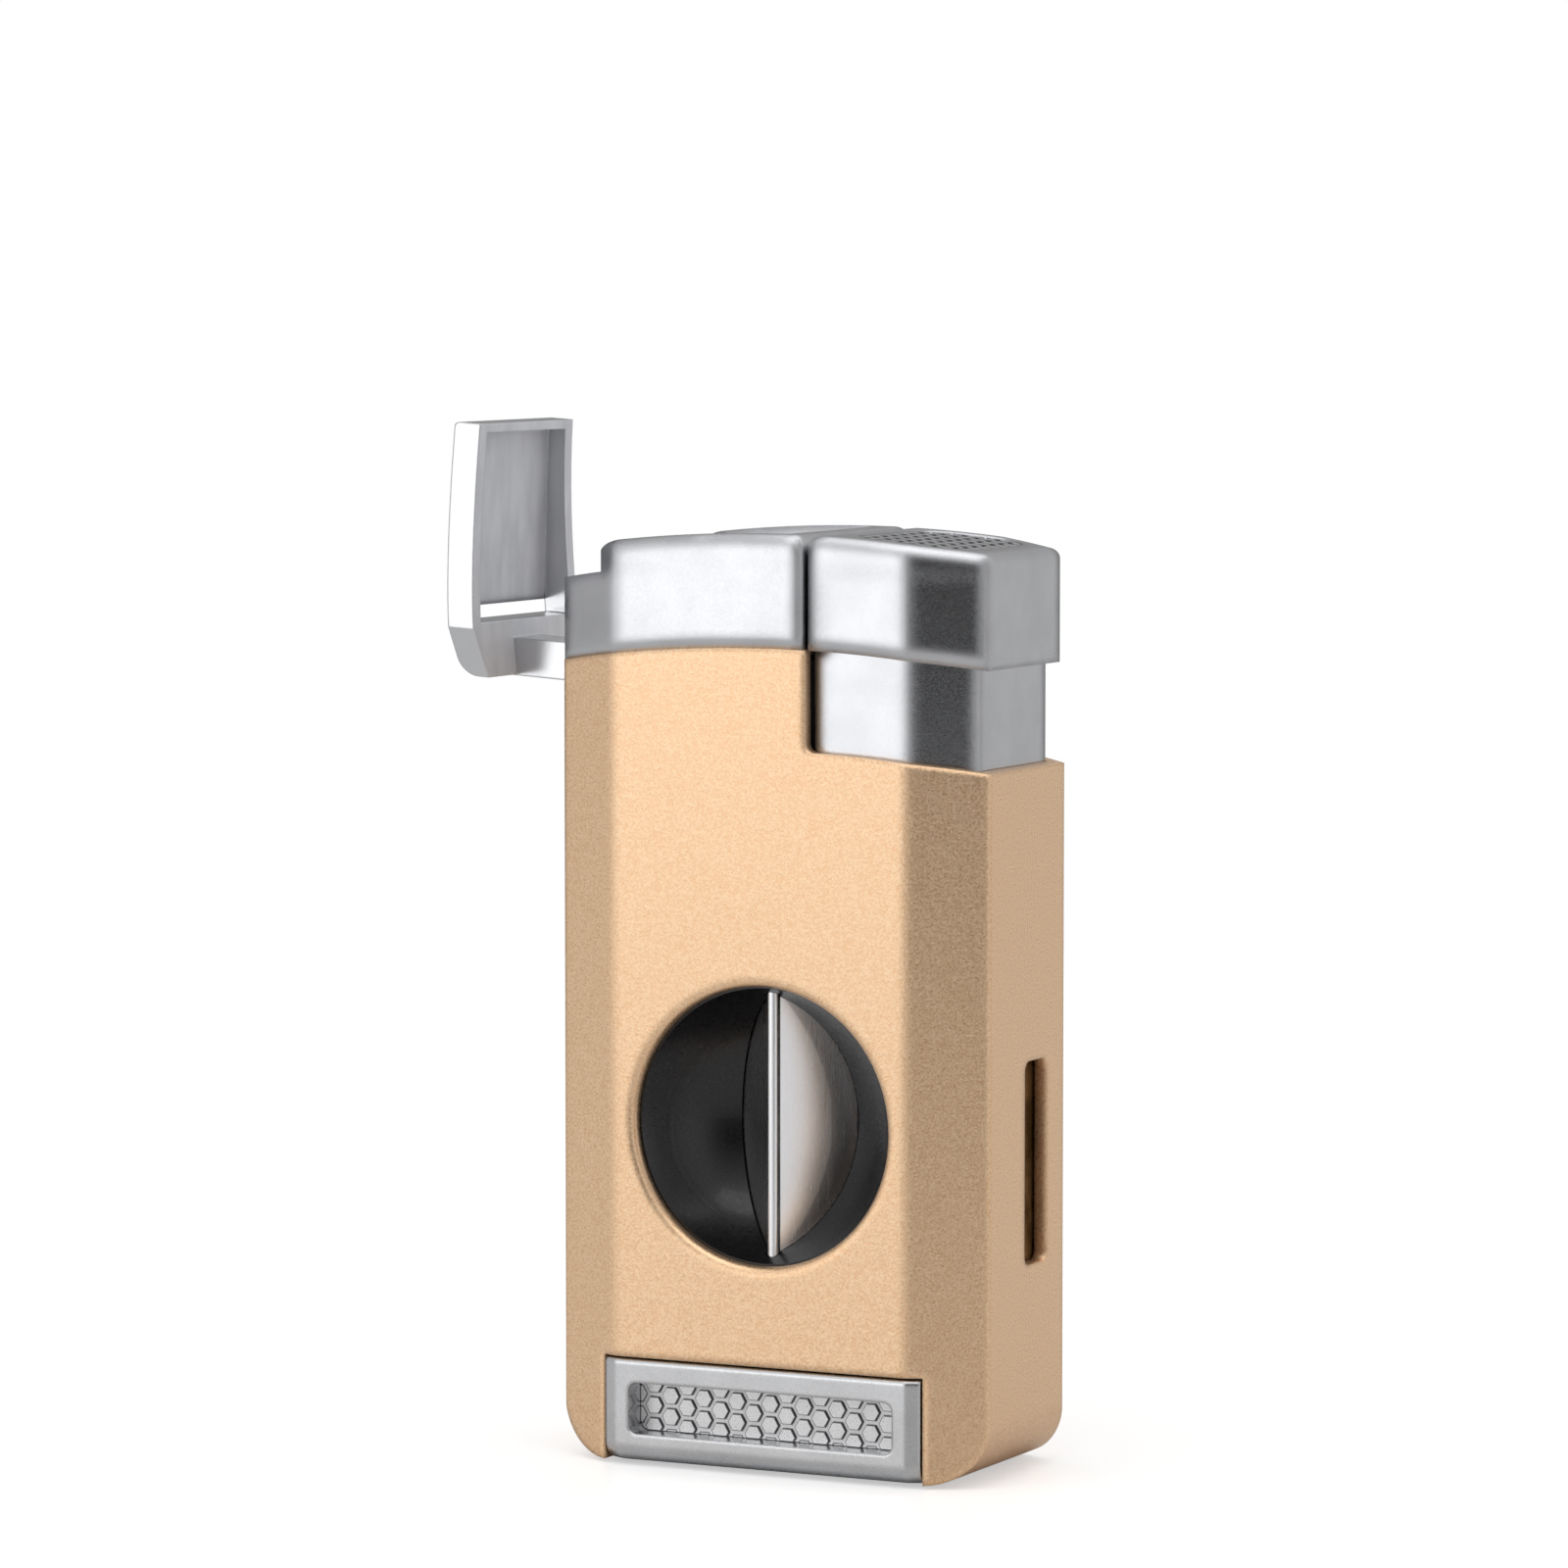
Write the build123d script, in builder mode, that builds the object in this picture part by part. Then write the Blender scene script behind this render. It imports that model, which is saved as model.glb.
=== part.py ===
from build123d import *
import math
import os

os.makedirs("parts", exist_ok=True)

# ---- Overall body, millimetres. X right, Y back, Z up, origin at the centre of the base ----
WIDTH = 40.0
DEPTH = 21.0
BEVEL_X = 6.4
BEVEL_Y = 3.0
CROWN_RADIUS = 125.0
BODY_CROWN = 69.5
NOTCH_CROWN = 61.0
HEAD_CROWN = 79.05
NOTCH_X = 4.3
WALL = 1.2
BASE_CORNER = 5.0
EDGE_SOFT = 0.4
EDGE_WIDE = 2.5
EDGE_SIDE = 0.4
NOTCH_SOFT = 0.8
FLOOR = 1.3
RIM_SOFT = 0.7

# ---- Base ----
BASE_HALF = 13.0
BASE_Y0 = -0.9
BASE_Y1 = 7.6
PLATE_LIP = 0.8
BASE_SCREW_XS = (-12.0, 1.0, 11.6)
SCREW_R = 0.7
SCREW_HEAD_R = 1.3
FILL_R = 2.4
FILL_LENGTH = 6.5
FILL_STEM_R = 0.7
ADJUST_R = 1.9

# ---- Cutter ----
CUT_Z = 29.25
CUP_R = 11.83
CUP_DEPTH = 8.6
CUP_FACE_Y = -9.8
RIDGE_Y = -7.9
BLADE_HALF = 5.4
BLADE_THICK = 0.7
RIDGE_R = 0.55
RIDGE_SINK = 0.35
SLIT_GAP = 0.15
BLADE_LOW = 11.5
BLADE_TOP = 41.4
CUP_LOW = 15.9
CUP_HIGH = 43.2
CUP_FRONT_Y = -9.25
FLANGE_BACK_Y = -7.3
CUP_BACK_Y = -0.75
FLANGE_HALF = 14.8
CUP_HALF = 12.3
GUIDE_Y0 = -0.7
GUIDE_Y1 = 0.5
GUIDE_HALF = 14.9

# ---- Pull and drawer ----
PULL_HALF = 14.75
PULL_TOP = 8.85
PULL_NOTCH_HALF = 14.95
PULL_NOTCH_TOP = 9.03
PULL_BACK_Y = -7.4
WINDOW_HALF = 12.4
WINDOW_LOW = 2.45
WINDOW_TOP = 6.85
HEX_FLATS = 1.4
HEX_STEP_X = 1.57
HEX_PITCH = 1.8
HEX_RISE = 0.25
HEX_PANEL = 0.7
GRIP_HALF = 13.0
GRIP_PLATE = 0.8
GRIP_LOW = 1.9
GRIP_TOP = 7.3
RIVET_Z = 7.95
RIVET_X = 10.0
RIVET_R = 0.5
RIVET_LENGTH = 5.0
ARM_IN = 12.5
ARM_OUT = 14.0
ARM_Y0 = -6.9
ARM_Y1 = -1.6
ARM_TOP = 43.0
CARRIER_LOW = 0.6
CARRIER_TOP = 15.0
CARRIER_BACK_Y = -1.5
DRAWER_BACK_Y = -1.2

# ---- Side window ----
SLOT_Y0 = -0.56
SLOT_Y1 = 4.1
SLOT_Z0 = 17.5
SLOT_Z1 = 34.8

# ---- Head, lid and hinge ----
HEAD_RIGHT = 3.9
HEAD_INSET = 0.1
HEAD_LOW = 66.0
CHAMBER_X0 = -13.6
CHAMBER_X1 = 0.6
CHAMBER_HALF = 7.0
LID_DROP = 2.5
LID_SEAT = 0.05
LID_SIDE = 1.3
LID_END = 0.8
LID_HALF_WIDTHS = ((1.75, 8.35), (-4.4, 8.65), (-7.9, 8.9), (-11.0, 9.15), (-15.0, 9.4))
LID_RIGHT = 1.75
LID_CAVITY = 1.7
LID_ROOT_X = -15.2
LID_GAP = 0.2
HINGE_X = -18.9
HINGE_Z = 66.6
HINGE_PIN_R = 0.5
KNUCKLE_R = 1.08
ARM_HALF = 2.4
HINGE_NOTCH_Z = 65.3
HINGE_NOTCH_HALF = 4.8
LUG_OUT = 4.6
LID_OPEN = 86.3
JET_XS = (-11.4, -6.4, -1.4)

# ---- Button ----
CAP_LEFT = 4.45
CAP_INSET = 0.4
SKIRT_LEFT = 4.45
SKIRT_STEP_X = 5.65
SKIRT_STEP_Z = 69.3
SKIRT_INSET = 1.38
SKIRT_WALL = 1.2
SKIRT_LOW = 54.0
SKIRT_TOP = 76.0
PIEZO_X = 12.0
GRIP_X = 11.9
GRIP_SIZE = (10.6, 15.6)
GRIP_CORNER = 3.6
GRIP_SINK = 0.7
RIB_TOP = 61.5
RIB_LOW = 54.0
RIB_RISE = 1.08

# ---- Inside ----
TANK_INSET = 1.5
TANK_LOW = 2.6
TANK_SKIN = 1.0
TANK_FRONT_Y = 0.7
TANK_WING_X = 15.2
TANK_WING_Y = -5.0
VALVE_NECK_R = 2.2
TANK_TOP = 44.0
DECK_LOW = 45.4
DECK_TOP = 46.8
CROWN_SOFT = 0.9
CHANNEL_X = -16.3
CATCH_LOW = 71.0
CATCH_TOP = 78.5
CATCH_HALF = 1.5
LUG_WIDE = 2.6
LUG_TALL = 4.0
LID_ROUND = 1.8
ARM_ROOT_Z = 76.8
ARM_IN_X = -16.7
ARM_FOOT_R = 2.6
SPRING_Y0 = 0.7
CHASSIS_SCREW_X = -15.6
CHASSIS_SCREW_Y = 6.1
BRACKET_TOP = 68.2
DIVIDER_X = 3.0
DIVIDER_WALL = 1.2
DIVIDER_TOP = 68.5
LEVER_LUG_Y = 2.5
LEVER_PIN_R = 0.5
NUB_X = 4.05
WIRE_Y = -1.5
WIRE_Z = 47.15
VALVE_R = 3.0
VALVE_TOP = 53.0
PORT_Z = 49.0
HOSE_X = -13.0
STEM_R = 0.8
SPARK_X = -0.9
SPARK_Y = -4.8
SPARK_Z = 74.0
INSULATOR_R = 0.8
VALVE_X = -7.5
VALVE_Y = 4.3
LEVER_X = 0.6
LEVER_Z = 61.7
LEVER_HALF = 1.9
NUB_Z = 54.5
STEM_TOP = 63.7
BURNER_LOW = 65.5
BURNER_TOP = 69.0
BURNER_DEPTH = 4.4
WIND_LOW = 72.4
WIND_TOP = 73.4
JET_TOP = 75.4
JET_R = 1.6
FILL_X = -8.0
SERVICE_Y = 4.0
ADJUST_X = 7.0
FILL_COIL_R = 0.85
FILL_COIL_WIRE = 0.17
FILL_COIL_LOW = 2.75
FILL_COIL_TURNS = 4
FILL_BASE = 0.5
FILL_STEM_LOW = 0.3
FILL_COLLAR_LOW = 2.1
ADJUST_LOW = 0.3
ADJUST_HEAD = 3.2
ADJUST_SHANK_R = 0.8
ADJUST_SHANK = 3.0
SEAL_WIRE = 0.3
ADJUST_SEAL_R = 1.15
ADJUST_SEAL_Z = 5.5
BASE_SCREW_LENGTH = 4.2
CHASSIS_SCREW_LENGTH = 4.4
PIEZO_SIZE = (6.6, 5.4)
PLUNGER_SIZE = (4.9, 3.9)
PIEZO_TOP = 60.0
PLUNGER_LOW = 55.0
PLUNGER_DISC_R = 5.0
PLUNGER_DISC_LOW = 68.0
BUTTON_COIL_R = 4.62
BUTTON_COIL_WIRE = 0.28
BUTTON_COIL_TURNS = 7
LID_COIL_R = 0.85
LID_COIL_WIRE = 0.16
LID_COIL_PITCH = 0.42
LID_COIL_LENGTH = 1.26
CATCH_BACK = 2.6
CATCH_FACE = 2.4
CATCH_NOSE = 1.95
CATCH_NOSE_Z = 77.4
CATCH_NOSE_HALF = 0.6
HOSE_R = 0.8
PORT_R = 0.45
WIRE_R = 0.3
WIRE_BEND_Z = 55.0
ELECTRODE_R = 0.2
ELECTRODE_BORE = 0.32
MESH_HOLE_R = 0.14
MESH_HOLES = 6
MESH_RING = 0.65
GRIP_HEX_PITCH = 0.9
GRIP_HEX_COUNT = (9, 11)
GRIP_FIELD_DROP = 0.42
GRIP_CELL_DROP = 0.08


def arc_drop(x):
    """Fall of the crown arc below its top at a distance x from the middle."""
    return CROWN_RADIUS - math.sqrt(CROWN_RADIUS**2 - x**2)


def octagon_points(inset):
    """Corners of the eight-sided outline, moved in by inset, counter-clockwise."""
    run = math.hypot(BEVEL_X, BEVEL_Y)
    nx = BEVEL_Y / run
    ny = BEVEL_X / run
    reach = nx * WIDTH / 2 + ny * (DEPTH / 2 - BEVEL_Y) - inset
    hx = WIDTH / 2 - inset
    hy = DEPTH / 2 - inset
    fx = (reach - ny * hy) / nx
    sy = (reach - nx * hx) / ny
    return [(hx, -sy), (hx, sy), (fx, hy), (-fx, hy), (-hx, sy), (-hx, -sy), (-fx, -hy), (fx, -hy)]


def crown_profile(x0, x1, low, crown):
    """Line work in XZ: straight bottom and sides under a crown arc."""
    z0 = crown - arc_drop(x0)
    z1 = crown - arc_drop(x1)
    Polyline((x1, z1), (x1, low), (x0, low), (x0, z0))
    ThreePointArc((x0, z0), ((x0 + x1) / 2, crown - arc_drop((x0 + x1) / 2)), (x1, z1))


def save(piece, name):
    """Label one finished piece and write it under its node name."""
    piece.label = name
    export_step(piece, f"parts/{name}.step")


def front_edges(edges):
    """The edges that run across the front of the pull, without its back and side edges."""
    return edges.filter_by(lambda e: e.center().Y < PULL_BACK_Y - 0.1).filter_by(Axis.Y, reverse=True)


def hex_centres(half_columns):
    """Honeycomb cell centres: pairs in the even columns, one and two halves in the odd ones."""
    spots = []
    for column in range(-half_columns, half_columns + 1):
        rows = (-0.5, 0.5) if column % 2 == 0 else (-1, 0, 1)
        spots += [(column * HEX_STEP_X, row * HEX_PITCH) for row in rows]
    return spots


# ================= Body shell =================
CAVITY_CORNER = BASE_CORNER - WALL
with BuildPart() as shell_hollow:
    with BuildSketch(Plane.XY):
        Polygon(*octagon_points(WALL), align=None)
    extrude(amount=BODY_CROWN + 2)
    with BuildSketch(Plane.XZ) as hollow_side:
        with Locations((0, FLOOR)):
            Rectangle(WIDTH - 2 * WALL, BODY_CROWN, align=(Align.CENTER, Align.MIN))
        fillet(hollow_side.vertices().group_by(Axis.Y)[0], CAVITY_CORNER)
    extrude(amount=DEPTH, both=True, mode=Mode.INTERSECT)

with BuildPart() as body_shell:
    with BuildSketch(Plane.XY):
        Polygon(*octagon_points(0), align=None)
    extrude(amount=BODY_CROWN + 1)
    uprights = body_shell.edges().filter_by(Axis.Z).sort_by(lambda e: abs(e.center().X))
    fillet(uprights[:4], EDGE_WIDE)
    fillet(uprights[4:], EDGE_SIDE)
    with BuildSketch(Plane.XZ) as shell_side:
        with BuildLine():
            crown_profile(-WIDTH / 2, NOTCH_X, 0, BODY_CROWN)
        make_face()
        with BuildLine():
            crown_profile(NOTCH_X - 1, WIDTH / 2, 0, NOTCH_CROWN)
        make_face()
        fillet(shell_side.vertices().group_by(Axis.Y)[0].sort_by(Axis.X)[0], BASE_CORNER)
        fillet(shell_side.vertices().group_by(Axis.Y)[0].sort_by(Axis.X)[-1], BASE_CORNER)
        inner_corner = shell_side.vertices().sort_by(lambda v: abs(v.X - NOTCH_X) + abs(v.Y - NOTCH_CROWN))[0]
        fillet(inner_corner, NOTCH_SOFT)
    extrude(amount=DEPTH, both=True, mode=Mode.INTERSECT)
    add(shell_hollow.part, mode=Mode.SUBTRACT)
    # Round cutter opening in the front wall, softened at its outer rim
    with BuildSketch(Plane.XZ.offset(DEPTH / 2)):
        with Locations((0, CUT_Z)):
            Circle(CUP_R)
    extrude(amount=-3, mode=Mode.SUBTRACT)
    rim = body_shell.edges().filter_by(GeomType.CIRCLE).filter_by(
        lambda e: abs(e.radius - CUP_R) < 0.01).sort_by(Axis.Y)[0]
    fillet(rim, RIM_SOFT)
    # Fuel window in the right wall
    with BuildSketch(Plane.YZ.offset(WIDTH / 2 - 3)):
        with Locations(((SLOT_Y0 + SLOT_Y1) / 2, (SLOT_Z0 + SLOT_Z1) / 2)):
            RectangleRounded(SLOT_Y1 - SLOT_Y0, SLOT_Z1 - SLOT_Z0, 0.9)
    extrude(amount=5, mode=Mode.SUBTRACT)
    # Mouth of the cutter drawer
    with Locations((0, -DEPTH / 2, PULL_NOTCH_TOP / 2)):
        Box(2 * PULL_NOTCH_HALF, 2 * (DEPTH / 2 + DRAWER_BACK_Y), PULL_NOTCH_TOP, mode=Mode.SUBTRACT)
    # Service opening for the base plate
    with Locations((0, (BASE_Y0 + BASE_Y1) / 2, 0)):
        Box(2 * BASE_HALF, BASE_Y1 - BASE_Y0, 4 * FLOOR, mode=Mode.SUBTRACT)
    # Notch for the hinge at the top of the left wall
    with Locations((-WIDTH / 2, 0, HINGE_NOTCH_Z)):
        Box(4, 2 * HINGE_NOTCH_HALF, 20, align=(Align.CENTER, Align.CENTER, Align.MIN), mode=Mode.SUBTRACT)
save(body_shell.part, "body_shell")

# ================= Base plate with its screws =================
with BuildPart() as base_plate:
    with Locations((0, (BASE_Y0 + BASE_Y1) / 2, 0)):
        Box(2 * BASE_HALF - 0.2, BASE_Y1 - BASE_Y0 - 0.2, FLOOR,
            align=(Align.CENTER, Align.CENTER, Align.MIN))
    with BuildSketch(Plane.XY.offset(FLOOR)):
        with Locations((0, (BASE_Y0 + BASE_Y1) / 2)):
            Rectangle(2 * BASE_HALF + 2 * PLATE_LIP, BASE_Y1 - BASE_Y0 - 0.2)
    extrude(amount=PLATE_LIP)
    with Locations((FILL_X, SERVICE_Y, 0)):
        Cylinder(FILL_R + 0.1, 12, mode=Mode.SUBTRACT)
    with Locations((ADJUST_X, SERVICE_Y, 0)):
        Cylinder(ADJUST_R + 0.1, 12, mode=Mode.SUBTRACT)
    with Locations(*[Location((x, SERVICE_Y, 0), (180, 0, 0)) for x in BASE_SCREW_XS]):
        CounterSinkHole(SCREW_R, SCREW_HEAD_R, depth=5, counter_sink_angle=90)
save(base_plate.part, "base_plate")


def screw_blank(length):
    """A small cross-head countersunk screw, head face at z 0, shank pointing up."""
    with BuildPart() as screw:
        with BuildSketch(Plane.XZ):
            with BuildLine():
                Polyline((0, 0.1), (SCREW_HEAD_R - 0.2, 0.1), (SCREW_R, SCREW_HEAD_R - SCREW_R),
                         (SCREW_R, length), (0, length), close=True)
            make_face()
        revolve(axis=Axis.Z)
        with Locations((0, 0, 0.1)):
            Box(1.2, 0.3, 0.7, mode=Mode.SUBTRACT)
            Box(0.3, 1.2, 0.7, mode=Mode.SUBTRACT)
    return screw.part


BASE_SCREW = screw_blank(BASE_SCREW_LENGTH)
save(Compound(children=[BASE_SCREW.moved(Location((x, SERVICE_Y, 0))) for x in BASE_SCREW_XS]), "base_screws")

# ================= Fuel tank =================


def tank_outline(inset):
    """Outline of the tank: rear half of the body with two forward wings beside the cutter."""
    pts = octagon_points(TANK_INSET + inset)
    hx, sy = pts[1]
    fx, hy = pts[2]
    front = TANK_FRONT_Y + inset
    wing = TANK_WING_X + inset
    wing_y = TANK_WING_Y + inset
    return [(hx, wing_y), (hx, sy), (fx, hy), (-fx, hy), (-hx, sy), (-hx, wing_y), (-wing, wing_y),
            (-wing, front), (wing, front), (wing, wing_y)]


with BuildPart() as tank:
    with BuildSketch(Plane.XY.offset(TANK_LOW)):
        Polygon(*tank_outline(0), align=None)
    extrude(amount=TANK_TOP - TANK_LOW)
    fillet(tank.edges().filter_by(Axis.Z), 0.5)
    with BuildSketch(Plane.XZ) as tank_side:
        with Locations((0, TANK_LOW)):
            Rectangle(2 * (WIDTH / 2 - TANK_INSET), TANK_TOP, align=(Align.CENTER, Align.MIN))
        fillet(tank_side.vertices().group_by(Axis.Y)[0], 2.8)
    extrude(amount=DEPTH, both=True, mode=Mode.INTERSECT)
    with BuildSketch(Plane.XY.offset(TANK_LOW + 3)):
        Polygon(*tank_outline(TANK_SKIN), align=None)
    extrude(amount=TANK_TOP, mode=Mode.SUBTRACT)
    for spot, radius in ((FILL_X, FILL_R), (ADJUST_X, ADJUST_R)):
        with Locations((spot, SERVICE_Y, TANK_LOW)):
            Cylinder(radius, 12, mode=Mode.SUBTRACT)
    # Blind screw holes for the base screws
    with Locations(*[(x, SERVICE_Y, TANK_LOW) for x in BASE_SCREW_XS]):
        Cylinder(SCREW_R, 4.4, mode=Mode.SUBTRACT)
save(tank.part, "tank")

with BuildPart() as tank_cap:
    with BuildSketch(Plane.XY.offset(TANK_TOP)):
        Polygon(*tank_outline(0), align=None)
    extrude(amount=DECK_LOW - TANK_TOP)
    with Locations((VALVE_X, VALVE_Y, TANK_TOP)):
        Cylinder(VALVE_NECK_R, 6, mode=Mode.SUBTRACT)
save(tank_cap.part, "tank_cap")

# ================= Fill valve and flame adjuster =================
with BuildPart() as fill_valve_body:
    with Locations((FILL_X, SERVICE_Y, FILL_BASE)):
        Cylinder(FILL_R, FILL_LENGTH, align=(Align.CENTER, Align.CENTER, Align.MIN))
        Cylinder(FILL_STEM_R + 0.05, 3, align=(Align.CENTER, Align.CENTER, Align.MIN), mode=Mode.SUBTRACT)
    with Locations((FILL_X, SERVICE_Y, 2.0)):
        Cylinder(FILL_R - 0.6, FILL_LENGTH - 2.1, align=(Align.CENTER, Align.CENTER, Align.MIN),
                 mode=Mode.SUBTRACT)
save(fill_valve_body.part, "fill_valve_body")

with BuildPart() as fill_valve_stem:
    with Locations((FILL_X, SERVICE_Y, FILL_STEM_LOW)):
        Cylinder(FILL_STEM_R, 2.8, align=(Align.CENTER, Align.CENTER, Align.MIN))
        Cylinder(0.3, 1.2, align=(Align.CENTER, Align.CENTER, Align.MIN), mode=Mode.SUBTRACT)
    with Locations((FILL_X, SERVICE_Y, FILL_COLLAR_LOW)):
        Cylinder(FILL_R - 0.75, 0.6, align=(Align.CENTER, Align.CENTER, Align.MIN))
save(fill_valve_stem.part, "fill_valve_stem")


def coil(radius, wire, low, high, turns):
    """An upright spring of round wire, centred on the vertical axis."""
    with BuildPart() as spring:
        with BuildLine() as path:
            Helix(pitch=(high - low - 2 * wire) / turns, height=high - low - 2 * wire, radius=radius)
        with BuildSketch(Plane(origin=path.line @ 0, z_dir=path.line % 0)):
            Circle(wire)
        sweep(path=path.line, is_frenet=True)
    return spring.part.moved(Location((0, 0, low + wire)))


FILL_COIL = coil(FILL_COIL_R, FILL_COIL_WIRE, FILL_COIL_LOW, FILL_LENGTH - 0.15, FILL_COIL_TURNS)
save(FILL_COIL.moved(Location((FILL_X, SERVICE_Y, 0))), "fill_valve_spring")

with BuildPart() as flame_adjuster:
    with Locations((ADJUST_X, SERVICE_Y, ADJUST_LOW)):
        Cylinder(ADJUST_R - 0.06, ADJUST_HEAD, align=(Align.CENTER, Align.CENTER, Align.MIN))
        Box(3.0, 0.5, 1.2, mode=Mode.SUBTRACT)
    with Locations((ADJUST_X, SERVICE_Y, ADJUST_LOW + ADJUST_HEAD)):
        Cylinder(ADJUST_SHANK_R, ADJUST_SHANK, align=(Align.CENTER, Align.CENTER, Align.MIN))
save(flame_adjuster.part, "flame_adjuster")

with BuildPart() as adjuster_seal:
    with BuildSketch(Plane.XZ.offset(-SERVICE_Y)):
        with Locations((ADJUST_X + ADJUST_SEAL_R, ADJUST_SEAL_Z)):
            Circle(SEAL_WIRE)
    revolve(axis=Axis((ADJUST_X, SERVICE_Y, 0), (0, 0, 1)))
save(adjuster_seal.part, "adjuster_seal")

# ================= V-cutter =================
CUP_CURVE = (CUP_R**2 + CUP_DEPTH**2) / (2 * CUP_DEPTH)
CUP_CENTRE_Y = CUP_FACE_Y + CUP_DEPTH - CUP_CURVE



def blade_section(gap):
    """Plan of the V-shaped blade with its rounded ridge, the ridge moved out by gap."""
    with BuildSketch() as plan:
        Polygon((0, RIDGE_Y), (BLADE_HALF, RIDGE_Y + BLADE_HALF),
                (BLADE_HALF - BLADE_THICK, RIDGE_Y + BLADE_HALF), (0, RIDGE_Y + BLADE_THICK),
                (BLADE_THICK - BLADE_HALF, RIDGE_Y + BLADE_HALF), (-BLADE_HALF, RIDGE_Y + BLADE_HALF),
                align=None)
        with Locations((0, RIDGE_Y + RIDGE_SINK)):
            Circle(RIDGE_R + gap)
    return plan.sketch


with BuildPart() as cutter_cup:
    with Locations((0, (CUP_FRONT_Y + FLANGE_BACK_Y) / 2, (CUP_LOW + CUP_HIGH) / 2)):
        Box(2 * FLANGE_HALF, FLANGE_BACK_Y - CUP_FRONT_Y, CUP_HIGH - CUP_LOW)
    with Locations((0, (FLANGE_BACK_Y + CUP_BACK_Y) / 2, (CUP_LOW + CUP_HIGH) / 2)):
        Box(2 * CUP_HALF, CUP_BACK_Y - FLANGE_BACK_Y, CUP_HIGH - CUP_LOW)
    with BuildSketch(Plane.XY):
        Polygon(*octagon_points(WALL + 0.05), align=None)
    extrude(amount=BODY_CROWN, mode=Mode.INTERSECT)
    with Locations((0, CUP_CENTRE_Y, CUT_Z)):
        Sphere(CUP_CURVE, mode=Mode.SUBTRACT)
    # Slit for the blade, right through from top to bottom
    with BuildSketch(Plane.XY.offset(CUP_LOW - 1)):
        Polygon((0, RIDGE_Y - SLIT_GAP), (BLADE_HALF + SLIT_GAP, RIDGE_Y + BLADE_HALF),
                (BLADE_HALF + SLIT_GAP, RIDGE_Y + BLADE_HALF + SLIT_GAP),
                (-BLADE_HALF - SLIT_GAP, RIDGE_Y + BLADE_HALF + SLIT_GAP),
                (-BLADE_HALF - SLIT_GAP, RIDGE_Y + BLADE_HALF), align=None)
        add(blade_section(SLIT_GAP))
    extrude(amount=BLADE_TOP + 0.5 - CUP_LOW + 1, mode=Mode.SUBTRACT)
save(cutter_cup.part, "cutter_cup")

with BuildPart() as v_blade:
    with BuildSketch(Plane.XY.offset(BLADE_LOW)):
        add(blade_section(0))
    extrude(amount=BLADE_TOP - BLADE_LOW)
save(v_blade.part, "v_blade")

with BuildPart() as cutter_guide:
    with Locations((0, (GUIDE_Y0 + GUIDE_Y1) / 2, (CUP_LOW + CUP_HIGH) / 2)):
        Box(2 * GUIDE_HALF, GUIDE_Y1 - GUIDE_Y0, CUP_HIGH - CUP_LOW)
    for side in (-1, 1):
        with Locations((side * (ARM_OUT + 0.15 + GUIDE_HALF) / 2, (FLANGE_BACK_Y + GUIDE_Y0) / 2,
                        (CUP_LOW + CUP_HIGH) / 2)):
            Box(GUIDE_HALF - ARM_OUT - 0.15, GUIDE_Y0 - FLANGE_BACK_Y, CUP_HIGH - CUP_LOW)
save(cutter_guide.part, "cutter_guide")

with BuildPart() as blade_carrier:
    # Cross block under the cup, with a pocket for the pull plate
    with Locations((0, (PULL_BACK_Y + CARRIER_BACK_Y) / 2, CARRIER_LOW)):
        Box(2 * ARM_OUT, CARRIER_BACK_Y - PULL_BACK_Y, CARRIER_TOP - CARRIER_LOW,
            align=(Align.CENTER, Align.CENTER, Align.MIN))
    for side in (-1, 1):
        with Locations((side * (ARM_IN + ARM_OUT) / 2, (ARM_Y0 + ARM_Y1) / 2, CARRIER_LOW)):
            Box(ARM_OUT - ARM_IN, ARM_Y1 - ARM_Y0, ARM_TOP - CARRIER_LOW,
                align=(Align.CENTER, Align.CENTER, Align.MIN))
    with Locations((0, PULL_BACK_Y, (GRIP_LOW + GRIP_TOP) / 2)):
        Box(2 * GRIP_HALF, 2 * GRIP_PLATE, GRIP_TOP - GRIP_LOW, mode=Mode.SUBTRACT)
    # Seat for the foot of the blade
    with BuildSketch(Plane.XY.offset(CARRIER_TOP)):
        add(blade_section(0))
    extrude(amount=BLADE_LOW - CARRIER_TOP, mode=Mode.SUBTRACT)
    with Locations(*[Location((side * RIVET_X, PULL_BACK_Y, RIVET_Z), (90, 0, 0)) for side in (-1, 1)]):
        Cylinder(RIVET_R, RIVET_LENGTH, mode=Mode.SUBTRACT)
save(blade_carrier.part, "blade_carrier")

with BuildPart() as blade_rivets:
    with Locations(*[Location((side * RIVET_X, PULL_BACK_Y, RIVET_Z), (90, 0, 0)) for side in (-1, 1)]):
        Cylinder(RIVET_R, RIVET_LENGTH)
save(blade_rivets.part, "blade_rivets")

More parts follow.
